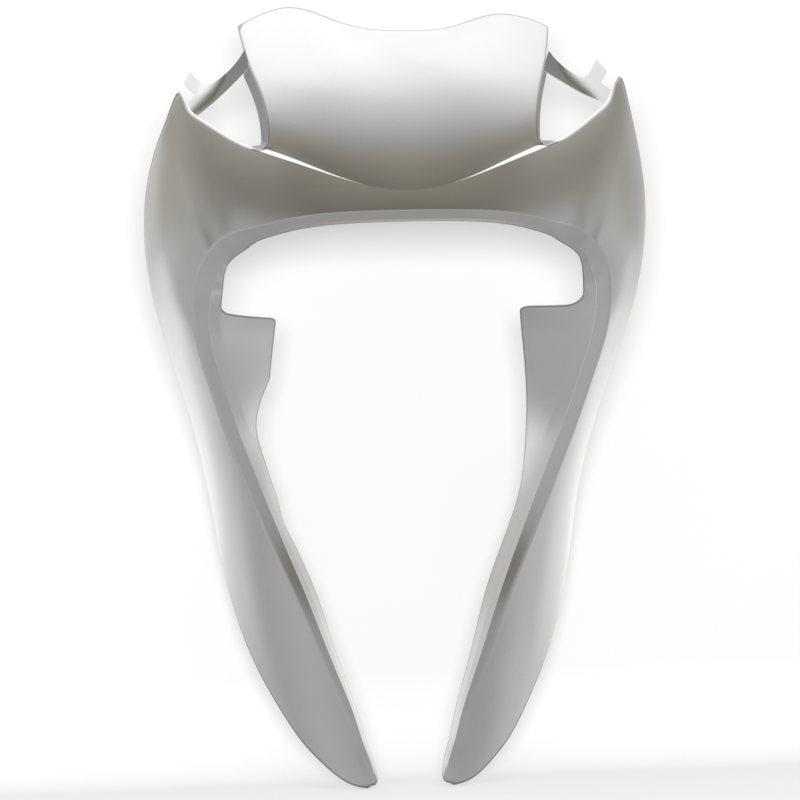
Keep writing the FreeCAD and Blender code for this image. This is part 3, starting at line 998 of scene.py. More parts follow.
    def outer_at(self, share: np.ndarray) -> np.ndarray:
        """Points of the outer edge of the brow.

        Args:
            share: place across, 1 at the window corner.

        Returns:
            Points of the edge.
        """
        form = self.form
        low, high = form.column_of[CORNER - 2], form.column_of[form.last - CORNER + 2]
        length = form.columns[low:high + 1]
        across = form.read(form.rows[Row.EDGE], length)[:, 0] / abs(form.outer[CORNER, 0])
        spot = np.interp(share.ravel(), across, length)
        return form.read(form.rows[Row.EDGE], spot).reshape(share.shape + (3,))

    def foot(self, share: np.ndarray) -> np.ndarray:
        """Foot of the bib, behind and above the edge of the brow.

        Args:
            share: place across, 1 at the window corner.

        Returns:
            Points of the foot.
        """
        grow = ease((np.abs(share) - self.ledge_start) / (1 - self.ledge_start))
        grow = grow * (1 - ease((np.abs(share) - 1) / (self.bib_reach - 1)))
        made = self.outer_at(share)
        made[..., 1] += self.ledge_fall * grow
        made[..., 2] += self.ledge_rise * grow
        return made

    def add_bib(self, front: np.ndarray, back: np.ndarray) -> None:
        """Adds the bib, and the ledge between it and the brow.

        Args:
            front: front grid of the band.
            back: back grid of the band.
        """
        form = self.form
        reach = abs(form.outer[CORNER, 0])
        extra = self.corner_columns()
        first, last = form.column_of[CORNER] - extra, form.column_of[form.last - CORNER] + extra
        base = form.read(form.rows[Row.EDGE], form.columns[first:last + 1])
        across = base[:, 0] / reach
        widest = self.bib_reach = np.abs(across).max()
        down = np.linspace(0, 1, self.bib_steps + 1)
        level = BIB_FOOT * (1 - (1 - down) ** self.bib_crowding)
        above = (BIB_FOOT - level) * self.bib_row_drop
        radius = (widest - 1) * reach
        flare = np.clip(radius - above, 0, None)
        limit = 1 + (radius - np.sqrt(np.maximum(radius ** 2 - flare ** 2, 0))) / reach
        limit[-1] = widest
        pull = ease_over(np.abs(across) / widest, self.bib_pull_run)
        share = across[:, None] * (1 - pull[:, None] * (1 - limit[None, :] / widest))
        shown = self.bib_point(share, np.broadcast_to(level, share.shape).copy())
        inward = unit(np.cross(np.gradient(shown, axis=0), np.gradient(shown, axis=1)))
        inward *= np.sign(inward[len(inward) // 2, self.bib_steps // 2, 1])
        even = self.bib_even_columns
        inward[:even], inward[-even:] = inward[even], inward[-even - 1]
        hidden = shown + inward * form.wall
        self.sheet.add(shown, hidden)
        foot, foot_in = shown[:, -1], hidden[:, -1]
        edge, edge_in = front[first:last + 1, 0], back[first:last + 1, 0]
        steps = np.linspace(0, 1, self.ledge_steps + 1)
        ledge = np.stack([mix(foot, edge, t) for t in steps], axis=1)
        ledge_in = np.stack([mix(foot_in, edge_in, t) for t in steps], axis=1)
        self.sheet.add(ledge, ledge_in)
        tip = form.column_of[WING_TIP]
        turn = back[tip:first, 0][::-1]
        other = back[last + 1:len(back) - tip, 0]
        self.window_rims = {
            Hand.LEFT: np.concatenate([hidden[0, :-1], turn]),
            Hand.RIGHT: np.concatenate([hidden[-1, :-1], other])}

    def wing_rims(self, front: np.ndarray, back: np.ndarray) -> list:
        """Draws the upper edge of the wings in, to leave room for its rolled bead.

        Args:
            front: front grid of the band, changed in place.
            back: back grid of the band, changed in place.

        Returns:
            Columns of each wing rim, with the share of the bead at each.
        """
        form = self.form
        tip, end = form.column_of[WING_TIP], form.column_of[CORNER] - self.corner_columns()
        near = np.arange(tip, end + 1)
        shares = ease((near - tip + 0.5) / self.bead_blend) * ease((end - near) / self.bead_blend)
        rims = [(near, shares), (len(front) - 1 - near, shares)]
        for columns, share in rims:
            for grid in (front, back):
                way = unit(grid[columns, 1] - grid[columns, 0])
                grid[columns, 0] += way * (share * self.sheet.bead * self.bead_inset)[:, None]
        return rims

    def corner_columns(self) -> int:
        """Columns that the rounded window corner takes beyond the end of the bib."""
        return max(2, round(self.window_round / self.form.column_pitch))

    def build(self, materials: dict) -> bpy.types.Object:
        """Builds the whole shell.

        Args:
            materials: material for each side of the wall.

        Returns:
            The shell, which stands for the moulded node.
        """
        front, back = self.band()
        rims = self.wing_rims(front, back)
        self.sheet.add(front, back)
        for hand in Hand:
            self.add_flange(hand, front, back)
        self.add_bib(front, back)
        for columns, shares in rims:
            self.sheet.roll(front[columns, 0], shares)
        made = self.sheet.close("fairing_shell", materials)
        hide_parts(NODE)
        return dress(made)


@dataclass
class Struts:
    """Bands beside the lamp windows, each twisted at its end into a notched tab."""

    form: FairingForm
    skin: Skin
    wall: float = 0.003
    behind: float = 0.008
    corner: float = 0.001
    corner_steps: int = 3
    sharp_angle: float = 40.0
    row: float = 1.08
    lean: float = 12.0
    tab_lean: float = 32.0
    twist: float = 0.014
    cell: float = 0.0016
    arc_steps: int = 12

    def spot(self, share: tuple) -> np.ndarray:
        """Point of the outline on the front plane.

        Args:
            share: percent across and up.

        Returns:
            Distance from the middle and height.
        """
        made = self.form.place((share[0], 0.0, share[1]))
        return made[[0, 2]]

    def arc(self, shares: tuple) -> list:
        """Round stretch through three points of an outline.

        Args:
            shares: start, middle and end.

        Returns:
            Points along the arc.
        """
        start, middle, end = [self.spot(share) for share in shares]
        sides = 2 * np.array([middle - start, end - start])
        squares = np.array([middle @ middle - start @ start, end @ end - start @ start])
        centre = np.linalg.solve(sides, squares)
        turn = [math.atan2(*(point - centre)[::-1]) for point in (start, middle, end)]
        sweep = np.unwrap(turn)
        reach = np.linalg.norm(start - centre)
        angles = np.linspace(sweep[0], sweep[2], self.arc_steps + 1)
        return [centre + reach * np.array([math.cos(a), math.sin(a)]) for a in angles]

    def depth(self, fold: tuple, across: float, up: float) -> float:
        """How far the twisted sheet stands behind its root.

        Args:
            fold: ends of the line where the band turns into the tab.
            across: distance from the middle.
            up: height.

        Returns:
            Distance back.
        """
        start, end = [self.spot(share) for share in fold]
        past = np.array([start[1] - end[1], end[0] - start[0]])
        gone = (np.array([across, up]) - start) @ past / np.linalg.norm(past)
        turned = float(ease(0.5 + gone / self.twist))
        slope = math.tan(math.radians(mix(-self.lean, self.tab_lean, turned)))
        return self.behind + (up - (start[1] + end[1]) / 2) * slope

    def sheet(self, hand: Hand, root: float) -> bmesh.types.BMesh:
        """Closed sheet of one strut.

        Args:
            hand: which side.
            root: depth of the bib edge it springs from.

        Returns:
            The sheet.
        """
        shape = bmesh.new()
        outline = STRUTS[hand]
        top, low = self.arc(outline.top), self.arc(outline.low)
        tab = [self.spot(share) for share in outline.tab]
        ring = [shape.verts.new((hand * p[0], 0.0, p[1])) for p in top + tab + low]
        shape.faces.new(ring)
        corners = [ring[0], *ring[len(top) - 1:len(top) + len(tab) + 1], ring[-1]]
        bmesh.ops.bevel(
            shape, geom=corners, offset=self.corner, segments=self.corner_steps, profile=0.5,
            affect="VERTICES")
        places = np.array([v.co for v in shape.verts])
        lowest, highest = places.min(axis=0), places.max(axis=0)
        for axis in (0, 2):
            for place in np.arange(lowest[axis] + self.cell, highest[axis], self.cell):
                spot, way = Vector((0, 0, 0)), Vector((0, 0, 0))
                spot[axis], way[axis] = place, 1.0
                parts = shape.verts[:] + shape.edges[:] + shape.faces[:]
                bmesh.ops.bisect_plane(shape, geom=parts, plane_co=spot, plane_no=way)
        for vert in shape.verts:
            vert.co.y = root + self.depth(outline.fold, abs(vert.co.x), vert.co.z)
        raised = bmesh.ops.extrude_face_region(shape, geom=shape.faces[:])
        moved = [v for v in raised["geom"] if isinstance(v, bmesh.types.BMVert)]
        bmesh.ops.translate(shape, verts=moved, vec=(0.0, self.wall, 0.0))
        bmesh.ops.recalc_face_normals(shape, faces=shape.faces)
        return shape

    def build(self, material: bpy.types.Material) -> bpy.types.Object:
        """Builds both struts.

        Args:
            material: finish of the struts.

        Returns:
            The struts as one piece.
        """
        root = self.skin.bib_point(np.array([1.0]), np.array([self.row]))[0]
        both = bmesh.new()
        mesh = bpy.data.meshes.new("lamp_struts")
        for hand in Hand:
            one = self.sheet(hand, root[1])
            one.to_mesh(mesh)
            one.free()
            both.from_mesh(mesh)
        both.to_mesh(mesh)
        both.free()
        shade(mesh, self.sharp_angle)
        mesh.materials.append(material)
        return dress(stand("lamp_struts", mesh))


@dataclass
class WindowReturns:
    """Walls that turn back round the lamp windows, drawn along the rim of each window."""

    skin: Skin
    from_level: int = 6
    depth: float = 0.017
    wing_reach: float = 0.022
    flare: float = 0.0065
    wall: float = 0.0018
    inset: float = 0.0004
    least_step: float = 0.00001
    start_run: float = 0.012
    end_share: float = 0.25
    soft: int = 5

    def path(self, hand: Hand) -> tuple:
        """Rim of one window with the way the wall goes at each point.

        Args:
            hand: which window.

        Returns:
            Points, ways back and ways into the window.
        """
        rim = self.skin.window_rims[hand][self.from_level:]
        keep = np.append(True, np.linalg.norm(np.diff(rim, axis=0), axis=1) > self.least_step)
        rim = rim[keep]
        run = unit(np.gradient(rim, axis=0) * np.array([1.0, 0.0, 1.0]))
        into = np.stack([run[:, 2], np.zeros(len(rim)), -run[:, 0]], axis=1)
        centre = (rim[0] + rim[-1]) / 2
        into *= np.sign((into * (centre - rim)).sum(axis=1).mean())
        padded = np.pad(into, ((self.soft, self.soft), (0, 0)), mode="edge")
        window = np.ones(2 * self.soft + 1) / (2 * self.soft + 1)
        into = unit(np.stack(
            [np.convolve(padded[:, n], window, mode="valid") for n in range(3)], axis=1))
        low = np.argmin(rim[:, 2])
        along = np.concatenate([[0.0], np.cumsum(np.linalg.norm(np.diff(rim, axis=0), axis=1))])
        kept = along < along[low] + self.wing_reach
        rim, into, along = rim[kept], into[kept], along[kept]
        end = 1 - ease((along - along[low]) / self.wing_reach)
        start = ease(along / self.start_run)
        flare = self.flare * start * end
        depth = self.depth * mix(self.end_share, 1.0, end)
        back = into * flare[:, None] + depth[:, None] * np.array([0.0, 1.0, 0.0])
        return rim - into * self.inset, back, into

    def build(self, material: bpy.types.Material) -> bpy.types.Object:
        """Builds the walls of both windows.

        Args:
            material: finish of the walls.

        Returns:
            The walls as one piece.
        """
        points, edges, backs, intos = [], [], [], []
        for hand in Hand:
            rim, back, into = self.path(hand)
            edges += [(len(points) + n, len(points) + n + 1) for n in range(len(rim) - 1)]
            points += [tuple(p) for p in rim]
            backs.append(back)
            intos.append(into)
        mesh = bpy.data.meshes.new("window_returns")
        mesh.from_pydata(points, edges, [])
        for name, values in (("way_back", backs), ("into", intos)):
            layer = mesh.attributes.new(name, "FLOAT_VECTOR", "POINT")
            layer.data.foreach_set("vector", np.concatenate(values).ravel())
        made = stand("window_returns", mesh)
        grow(made, return_tree(), {"Wall": self.wall, "Finish": material})
        return dress(made)


def return_tree() -> bpy.types.NodeTree:
    """Geometry nodes that draw a wall of even thickness back from a path.

    Returns:
        The tree.
    """
    desk = NodeDesk.group(
        "wall_from_path", "Geometry",
        {"Geometry": "Geometry", "Wall": "Float", "Finish": "Material"}, {"Geometry": "Geometry"})
    given = desk.add("NodeGroupInput")
    back, into = [
        desk.add("GeometryNodeInputNamedAttribute", {"Name": name}, data_type="FLOAT_VECTOR")
        for name in ("way_back", "into")]
    ribbon = desk.add("GeometryNodeExtrudeMesh", {
        "Mesh": given.outputs["Geometry"], "Offset": back.outputs["Attribute"]}, mode="EDGES")
    less = desk.add("ShaderNodeMath", {0: given.outputs["Wall"], 1: -1.0}, operation="MULTIPLY")
    away = desk.add("ShaderNodeVectorMath", {
        0: into.outputs["Attribute"], "Scale": less.outputs[0]}, operation="SCALE")
    thick = desk.add("GeometryNodeExtrudeMesh", {
        "Mesh": ribbon.outputs["Mesh"], "Offset": away.outputs[0],
        "Individual": False}, mode="FACES")
    other = desk.add("GeometryNodeFlipFaces", {"Mesh": ribbon.outputs["Mesh"]})
    both = desk.add("GeometryNodeJoinGeometry")
    for part in (thick, other):
        desk.tree.links.new(part.outputs["Mesh"], both.inputs[0])
    closed = desk.add("GeometryNodeMergeByDistance", {
        "Geometry": both.outputs[0], "Distance": WELD})
    whole = desk.add("GeometryNodeRealizeInstances", {"Geometry": closed.outputs[0]})
    coat = desk.add("GeometryNodeSetMaterial", {
        "Geometry": whole.outputs[0], "Material": given.outputs["Finish"]})
    desk.add("NodeGroupOutput", {"Geometry": coat.outputs[0]})
    return desk.tree


@dataclass
class ScrewBosses:
    """Ribbed posts behind the skin that take the screws, two high and two low."""

    shell: bpy.types.Object
    radius: float = 0.0045
    bore: float = 0.0021
    bore_depth: float = 0.018
    rib_reach: float = 0.0105
    rib_wall: float = 0.0018
    rib_stop: float = 0.007
    upper_spacing: float = 0.140
    lower_spacing: float = 0.224
    lower_drop: float = 0.360
    lower_back: float = 0.128
    look_ahead: float = 0.1
    sink: float = 0.0008
    turns: int = 28
    rib_steps: int = 10

    def template(self) -> bpy.types.Object:
        """One boss with its mouth at the origin and its foot points marked.

        Returns:
            The boss, to be set on each spot.
        """
        shape = bmesh.new()
        foot = shape.verts.layers.float.new("foot")
        deep = -self.bore_depth - self.bore

        def ring(radius: float, depth: float, mark: float) -> list:
            """Circle of points round the axis."""
            made = []
            for n in range(self.turns):
                turn = 2 * math.pi * n / self.turns
                vert = shape.verts.new((radius * math.cos(turn), depth, radius * math.sin(turn)))
                vert[foot] = mark
                made.append(vert)
            return made

        rings = [ring(self.radius, deep, 1.0), ring(self.radius, 0.0, 0.0),
                 ring(self.bore, 0.0, 0.0), ring(self.bore, -self.bore_depth, 0.0)]
        for one, two in zip(rings, rings[1:]):
            for n in range(self.turns):
                shape.faces.new((one[n - 1], one[n], two[n], two[n - 1]))
        for end, depth, mark in ((rings[0], deep, 1.0), (rings[-1], -self.bore_depth, 0.0)):
            middle = shape.verts.new((0.0, depth, 0.0))
            middle[foot] = mark
            for n in range(self.turns):
                shape.faces.new((end[n - 1], end[n], middle))
        for axis in (0, 2):
            rows = []
            for side in (-1, 1):
                for depth, mark in ((-self.rib_stop, 0.0), (deep, 1.0)):
                    row = []
                    for n in range(self.rib_steps + 1):
                        spot = [0.0, depth, 0.0]
                        spot[axis] = self.rib_reach * (2 * n / self.rib_steps - 1)
                        spot[2 - axis] = side * self.rib_wall / 2
                        vert = shape.verts.new(spot)
                        vert[foot] = mark
                        row.append(vert)
                    rows.append(row)
            order = [rows[0], rows[1], rows[3], rows[2]]
            for one, two in zip(order, order[1:] + order[:1]):
                for n in range(self.rib_steps):
                    shape.faces.new((one[n], one[n + 1], two[n + 1], two[n]))
            for n in (0, -1):
                shape.faces.new([row[n] for row in order])
        bmesh.ops.recalc_face_normals(shape, faces=shape.faces)
        mesh = bpy.data.meshes.new("boss_template")
        shape.to_mesh(mesh)
        shape.free()
        return stand("boss_template", mesh)

    def build(self, material: bpy.types.Material) -> bpy.types.Object:
        """Sets the bosses on their spots and runs their feet into the skin.

        Args:
            material: finish of the bosses.

        Returns:
            The bosses as one piece.
        """
        spots = []
        for hand in Hand:
            spots.append((hand * self.upper_spacing / 2, 0.0, 0.0))
            spots.append((hand * self.lower_spacing / 2, self.lower_back, -self.lower_drop))
        mesh = bpy.data.meshes.new("screw_bosses")
        mesh.from_pydata(spots, [], [])
        made, post = stand("screw_bosses", mesh), self.template()
        grow(made, boss_tree(), {
            "Boss": post, "Skin": self.shell, "Look Ahead": self.look_ahead, "Sink": self.sink,
            "Finish": material})
        bpy.data.objects.remove(post)
        return dress(made)


def boss_tree() -> bpy.types.NodeTree:
    """Geometry nodes that set a boss on each point and run its foot into the skin ahead of it.

    Returns:
        The tree.
    """
    desk = NodeDesk.group(
        "bosses_on_points", "Geometry",
        {"Geometry": "Geometry", "Boss": "Object", "Skin": "Object", "Look Ahead": "Float",
         "Sink": "Float", "Finish": "Material"}, {"Geometry": "Geometry"})
    given = desk.add("NodeGroupInput")
    boss = desk.add("GeometryNodeObjectInfo", {"Object": given.outputs["Boss"]})
    skin = desk.add("GeometryNodeObjectInfo", {"Object": given.outputs["Skin"]})
    spots = desk.add("GeometryNodeMeshToPoints", {"Mesh": given.outputs["Geometry"]})
    stood = desk.add("GeometryNodeInstanceOnPoints", {
        "Points": spots.outputs[0], "Instance": boss.outputs["Geometry"]})
    whole = desk.add("GeometryNodeRealizeInstances", {"Geometry": stood.outputs[0]})
    marked = desk.add("GeometryNodeInputNamedAttribute", {"Name": "foot"}, data_type="FLOAT")
    ahead = desk.add("GeometryNodeRaycast", {
        "Target Geometry": skin.outputs["Geometry"], "Ray Direction": (0.0, -1.0, 0.0),
        "Ray Length": given.outputs["Look Ahead"]})
    into = desk.add("ShaderNodeCombineXYZ", {1: given.outputs["Sink"]})
    sunk = desk.add("ShaderNodeVectorMath", {
        0: ahead.outputs["Hit Position"], 1: into.outputs[0]}, operation="SUBTRACT")
    meets = desk.add("ShaderNodeMath", {
        0: marked.outputs["Attribute"], 1: ahead.outputs["Is Hit"]}, operation="MULTIPLY")
    pick = desk.add("FunctionNodeCompare", {0: meets.outputs[0], 1: 0.5}, operation="GREATER_THAN")
    moved = desk.add("GeometryNodeSetPosition", {
        "Geometry": whole.outputs[0], "Selection": pick.outputs[0], "Position": sunk.outputs[0]})
    coat = desk.add("GeometryNodeSetMaterial", {
        "Geometry": moved.outputs[0], "Material": given.outputs["Finish"]})
    desk.add("NodeGroupOutput", {"Geometry": coat.outputs[0]})
    return desk.tree


def grain_group() -> bpy.types.NodeTree:
    """Shader group with the slow mottle and the fine grain of a moulded or sprayed surface.

    Returns:
        The group.
    """
    desk = NodeDesk.group(
        "surface_grain", "Shader", {"Mottle Scale": "Float", "Grain Scale": "Float"},
        {"Mottle": "Float", "Grain": "Float"})
    given = desk.add("NodeGroupInput")
    place = desk.add("ShaderNodeTexCoord").outputs["Object"]
    slow = desk.add("ShaderNodeTexNoise", {
        "Vector": place, "Scale": given.outputs["Mottle Scale"], "Detail": 3.0,
        "Roughness": 0.55})
    fine = desk.add("ShaderNodeTexNoise", {
        "Vector": place, "Scale": given.outputs["Grain Scale"], "Detail": 2.0,
        "Roughness": 0.5})
    desk.add("NodeGroupOutput", {"Mottle": slow.outputs[0], "Grain": fine.outputs[0]})
    return desk.tree


def rim_group() -> bpy.types.NodeTree:
    """Shader group that marks the free rims, broken up as wear and overspray are.

    Returns:
        The group.
    """
    desk = NodeDesk.group(
        "rim_mask", "Shader", {"From": "Float", "To": "Float"}, {"Mask": "Float"})
    given = desk.add("NodeGroupInput")
    rim = desk.add("ShaderNodeAttribute", attribute_name="rim")
    place = desk.add("ShaderNodeTexCoord")
    noise = desk.add("ShaderNodeTexNoise", {
        "Vector": place.outputs["Object"], "Scale": 60.0, "Detail": 4.0})
    shift = desk.add("ShaderNodeMath", {0: noise.outputs[0], 1: 0.5}, operation="SUBTRACT")
    soft = desk.add("ShaderNodeMath", {
        0: shift.outputs[0], 1: 0.5, 2: rim.outputs["Fac"]}, operation="MULTIPLY_ADD")
    mask = desk.add("ShaderNodeMapRange", {
        "Value": soft.outputs[0], "From Min": given.outputs["From"],
        "From Max": given.outputs["To"]})
    desk.add("NodeGroupOutput", {"Mask": mask.outputs[0]})
    return desk.tree


@dataclass(frozen=True)
class SilverPaint:
    """Silver flake paint under clear lacquer, with painted shade that darkens it along the free
    rims.
    """

    colour: tuple = (0.64, 0.64, 0.63, 1.0)
    shade: tuple = (0.60, 0.595, 0.585, 1.0)
    metal: float = 1.0
    roughness: float = 0.17
    lacquer_roughness: float = 0.04
    flake_scale: float = 2600.0
    mottle_scale: float = 11.0
    grain_scale: float = 330.0
    glint: tuple = (0.96, 1.04)
    roughness_spread: float = 0.03
    wear_run: tuple = (0.78, 1.15)
    wear_roughness: float = 0.12
    peel_strength: float = 0.05
    peel_depth: float = 0.0004
    # Painted shade: from this rim mark on, the base colour darkens into a dark line along each free
    # rim
    painted_shade_from: float = 0.92
    painted_rim_shade: float = 0.45

    def make(self, grain: bpy.types.NodeTree, rim: bpy.types.NodeTree) -> bpy.types.Material:
        """Makes the material.

        Args:
            grain: group with mottle and grain.
            rim: group that marks the rims.

        Returns:
            The material.
        """
        made = bpy.data.materials.new("silver_flake_paint")
        desk = NodeDesk.fresh(made)
        surface = desk.add("ShaderNodeGroup", node_tree=grain)
        surface.inputs["Mottle Scale"].default_value = self.mottle_scale
        surface.inputs["Grain Scale"].default_value = self.grain_scale
        worn = desk.add("ShaderNodeGroup", node_tree=rim)
        worn.inputs["From"].default_value, worn.inputs["To"].default_value = self.wear_run
        place = desk.add("ShaderNodeTexCoord")
        flake = desk.add("ShaderNodeTexVoronoi", {
            "Vector": place.outputs["Object"], "Scale": self.flake_scale})
        glint = desk.add("ShaderNodeMapRange", {
            "Value": flake.outputs["Color"], "To Min": self.glint[0], "To Max": self.glint[1]})
        tone = desk.add("ShaderNodeMix", {
            "Factor": surface.outputs["Mottle"], 6: self.shade, 7: self.colour}, data_type="RGBA")
        bright = desk.add("ShaderNodeMix", {0: 1.0, 6: tone.outputs[2], 7: glint.outputs[0]},
                          data_type="RGBA", blend_type="MULTIPLY")
        # Painted shade: the base colour darkens over the last stretch before each free rim
        edge = desk.add("ShaderNodeMapRange", {
            "Value": desk.add("ShaderNodeAttribute", attribute_name="rim").outputs["Fac"],
            "From Min": self.painted_shade_from, "From Max": 1.0, "To Min": 1.0, "To Max": self.painted_rim_shade})
        rim_shaded_colour = desk.add("ShaderNodeMix", {0: 1.0, 6: bright.outputs[2], 7: edge.outputs[0]},
                         data_type="RGBA", blend_type="MULTIPLY")
        rough = desk.add("ShaderNodeMapRange", {
            "Value": surface.outputs["Mottle"], "To Min": self.roughness - self.roughness_spread,
            "To Max": self.roughness + self.roughness_spread})
        wear = desk.add("ShaderNodeMath", {
            0: worn.outputs["Mask"], 1: self.wear_roughness, 2: rough.outputs[0]},
            operation="MULTIPLY_ADD")
        peel = desk.add("ShaderNodeBump", {
            "Strength": self.peel_strength, "Distance": self.peel_depth,
            "Height": surface.outputs["Grain"]})
        skin = desk.add("ShaderNodeBsdfPrincipled", {
            "Base Color": rim_shaded_colour.outputs[2], "Metallic": self.metal, "Roughness": wear.outputs[0],
            "Coat Weight": 1.0, "Coat Roughness": self.lacquer_roughness, "Coat IOR": 1.5,
            "Normal": peel.outputs[0]})
        desk.add("ShaderNodeOutputMaterial", {"Surface": skin.outputs[0]})
        return made


@dataclass(frozen=True)
class MouldedPlastic:
    """Bare grey moulded plastic behind the paint, with paint mist along the rims."""

    colour: tuple = (0.36, 0.36, 0.365, 1.0)
    shade: tuple = (0.31, 0.31, 0.315, 1.0)
    mist: tuple = (0.60, 0.60, 0.595, 1.0)
    roughness: float = 0.46
    roughness_spread: tuple = (-0.05, 0.06)
    mottle_scale: float = 14.0
    grain_scale: float = 1500.0
    mist_run: tuple = (0.15, 1.0)
    grit_strength: float = 0.18
    grit_depth: float = 0.0002

    def make(self, grain: bpy.types.NodeTree, rim: bpy.types.NodeTree) -> bpy.types.Material:
        """Makes the material.

        Args:
            grain: group with mottle and grain.
            rim: group that marks the rims.

        Returns:
            The material.
        """
        made = bpy.data.materials.new("grey_moulded_plastic")
        desk = NodeDesk.fresh(made)
        surface = desk.add("ShaderNodeGroup", node_tree=grain)
        surface.inputs["Mottle Scale"].default_value = self.mottle_scale
        surface.inputs["Grain Scale"].default_value = self.grain_scale
        misted = desk.add("ShaderNodeGroup", node_tree=rim)
        misted.inputs["From"].default_value, misted.inputs["To"].default_value = self.mist_run
        tone = desk.add("ShaderNodeMix", {
            "Factor": surface.outputs["Mottle"], 6: self.shade, 7: self.colour}, data_type="RGBA")
        mist = desk.add("ShaderNodeMix", {
            "Factor": misted.outputs["Mask"], 6: tone.outputs[2], 7: self.mist}, data_type="RGBA")
        rough = desk.add("ShaderNodeMapRange", {
            "Value": surface.outputs["Mottle"],
            "To Min": self.roughness + self.roughness_spread[0],
            "To Max": self.roughness + self.roughness_spread[1]})
        grit = desk.add("ShaderNodeBump", {
            "Strength": self.grit_strength, "Distance": self.grit_depth,
            "Height": surface.outputs["Grain"]})
        skin = desk.add("ShaderNodeBsdfPrincipled", {
            "Base Color": mist.outputs[2], "Roughness": rough.outputs[0],
            "Normal": grit.outputs[0]})
        desk.add("ShaderNodeOutputMaterial", {"Surface": skin.outputs[0]})
        return made


@dataclass(frozen=True)
class TentCloth:
    """Glow of the tent that the gloss mirrors: bright roof, dim brown room ahead, pale walls."""

    radius: float
    level: float
    strength: float = 1.6
    ahead: tuple = (
        (-90.0, (0.31, 0.31, 0.31), 0.0), (-45.0, (0.352, 0.352, 0.352), -0.1),
        (-26.0, (0.325, 0.325, 0.323), -0.14), (-16.0, (0.285, 0.283, 0.278), -0.12),
        (-11.0, (0.245, 0.24, 0.23), 0.0), (-6.0, (0.165, 0.156, 0.142), 0.0),
        (-2.0, (0.142, 0.13, 0.113), 0.05), (5.0, (0.17, 0.156, 0.132), 0.06),
        (10.0, (0.196, 0.18, 0.153), 0.05), (15.0, (0.21, 0.194, 0.164), 0.0),
        (23.0, (0.245, 0.232, 0.207), 0.0), (32.0, (0.305, 0.303, 0.295), 0.0),
        (40.0, (0.4, 0.4, 0.4), 0.0), (58.0, (0.6, 0.6, 0.605), -0.04),
        (76.0, (0.83, 0.83, 0.84), -0.06), (90.0, (0.93, 0.93, 0.935), -0.06))
    beside: tuple = (
        (-90.0, (0.27, 0.27, 0.27), 0.0), (-60.0, (0.29, 0.29, 0.29), 0.0),
        (-38.0, (0.39, 0.39, 0.39), 0.16), (-22.0, (0.355, 0.355, 0.355), 0.05),
        (-6.0, (0.43, 0.43, 0.425), 0.0), (2.0, (0.345, 0.33, 0.302), -0.05),
        (9.0, (0.285, 0.271, 0.245), -0.08), (16.0, (0.325, 0.314, 0.292), -0.05),
        (26.0, (0.415, 0.415, 0.41), 0.0), (36.0, (0.63, 0.63, 0.63), 0.0),
        (47.0, (0.82, 0.82, 0.82), -0.02), (65.0, (0.98, 0.98, 0.98), -0.03),
        (90.0, (0.98, 0.98, 0.98), -0.03))
    behind: tuple = (
        (-90.0, (0.27, 0.27, 0.27), 0.0), (-60.0, (0.29, 0.29, 0.29), 0.0),
        (-38.0, (0.41, 0.41, 0.41), 0.1), (-27.0, (0.6, 0.6, 0.6), 0.07),
        (-22.0, (0.69, 0.69, 0.69), -0.01), (-13.0, (0.6, 0.6, 0.6), -0.06),
        (-4.0, (0.425, 0.425, 0.42), -0.08), (5.0, (0.4, 0.395, 0.385), -0.18),
        (15.0, (0.52, 0.52, 0.52), -0.14), (32.0, (0.86, 0.86, 0.86), -0.03),
        (90.0, (0.95, 0.95, 0.95), -0.03))
    turns: tuple = ((-0.88, 0.08), (0.05, 0.45))

    def ramp(
            self, desk: NodeDesk, level: bpy.types.NodeSocket, side: bpy.types.NodeSocket,
            stops: tuple) -> bpy.types.NodeSocket:
        """Colour by height, blended from the left of the tent to its right.

        Args:
            desk: where the nodes go.
            level: height on the tent, 0 to 1.
            side: how far to the right, 0 to 1.
            stops: elevation in degrees, colour and lean of each stop, which is the share by which
                the right is brighter than the middle.

        Returns:
            The colour socket.
        """
        sides = []
        for hand in Hand:
            node = desk.add("ShaderNodeValToRGB", {0: level})
            elements = node.color_ramp.elements
            while len(elements) < len(stops):
                elements.new(0.5)
            for element, (height, colour, lean) in zip(elements, stops):
                element.position = (math.sin(math.radians(height)) + 1) / 2
                element.color = (*[part * (1 + hand * lean) for part in colour], 1.0)
            sides.append(node.outputs[0])
        return desk.add("ShaderNodeMix", {
            "Factor": side, 6: sides[0], 7: sides[1]}, data_type="RGBA").outputs[2]

    def make(self) -> bpy.types.Material:
        """Makes the material.

        Returns:
            The material.
        """
        made = bpy.data.materials.new("tent_cloth")
        desk = NodeDesk.fresh(made)
        place = desk.add("ShaderNodeVectorMath", {
            0: desk.add("ShaderNodeTexCoord").outputs["Object"], 1: (0.0, 0.0, self.level)},
            operation="SUBTRACT").outputs[0]
        parts = desk.add("ShaderNodeSeparateXYZ", {0: place})
        level = desk.add("ShaderNodeMapRange", {
            "Value": parts.outputs[2], "From Min": -self.radius,
            "From Max": self.radius}).outputs[0]
        flat = desk.add(
            "ShaderNodeVectorMath", {0: place, 1: (1.0, 1.0, 0.0)}, operation="MULTIPLY")
        way = desk.add("ShaderNodeVectorMath", {0: flat.outputs[0]}, operation="NORMALIZE")
        round_about = desk.add("ShaderNodeSeparateXYZ", {0: way.outputs[0]})
        side = desk.add("ShaderNodeMapRange", {
            "Value": round_about.outputs[0], "From Min": -1.0}).outputs[0]
        back = round_about.outputs[1]
        shown = self.ramp(desk, level, side, self.ahead)
        for stops, (start, end) in zip((self.beside, self.behind), self.turns):
            colour = self.ramp(desk, level, side, stops)
            turn = desk.add("ShaderNodeMapRange", {
                "Value": back, "From Min": start, "From Max": end}, interpolation_type="SMOOTHSTEP")
            shown = desk.add("ShaderNodeMix", {
                "Factor": turn.outputs[0], 6: shown, 7: colour}, data_type="RGBA").outputs[2]
        glow = desk.add("ShaderNodeEmission", {"Color": shown, "Strength": self.strength})
        desk.add("ShaderNodeOutputMaterial", {"Surface": glow.outputs[0]})
        return made


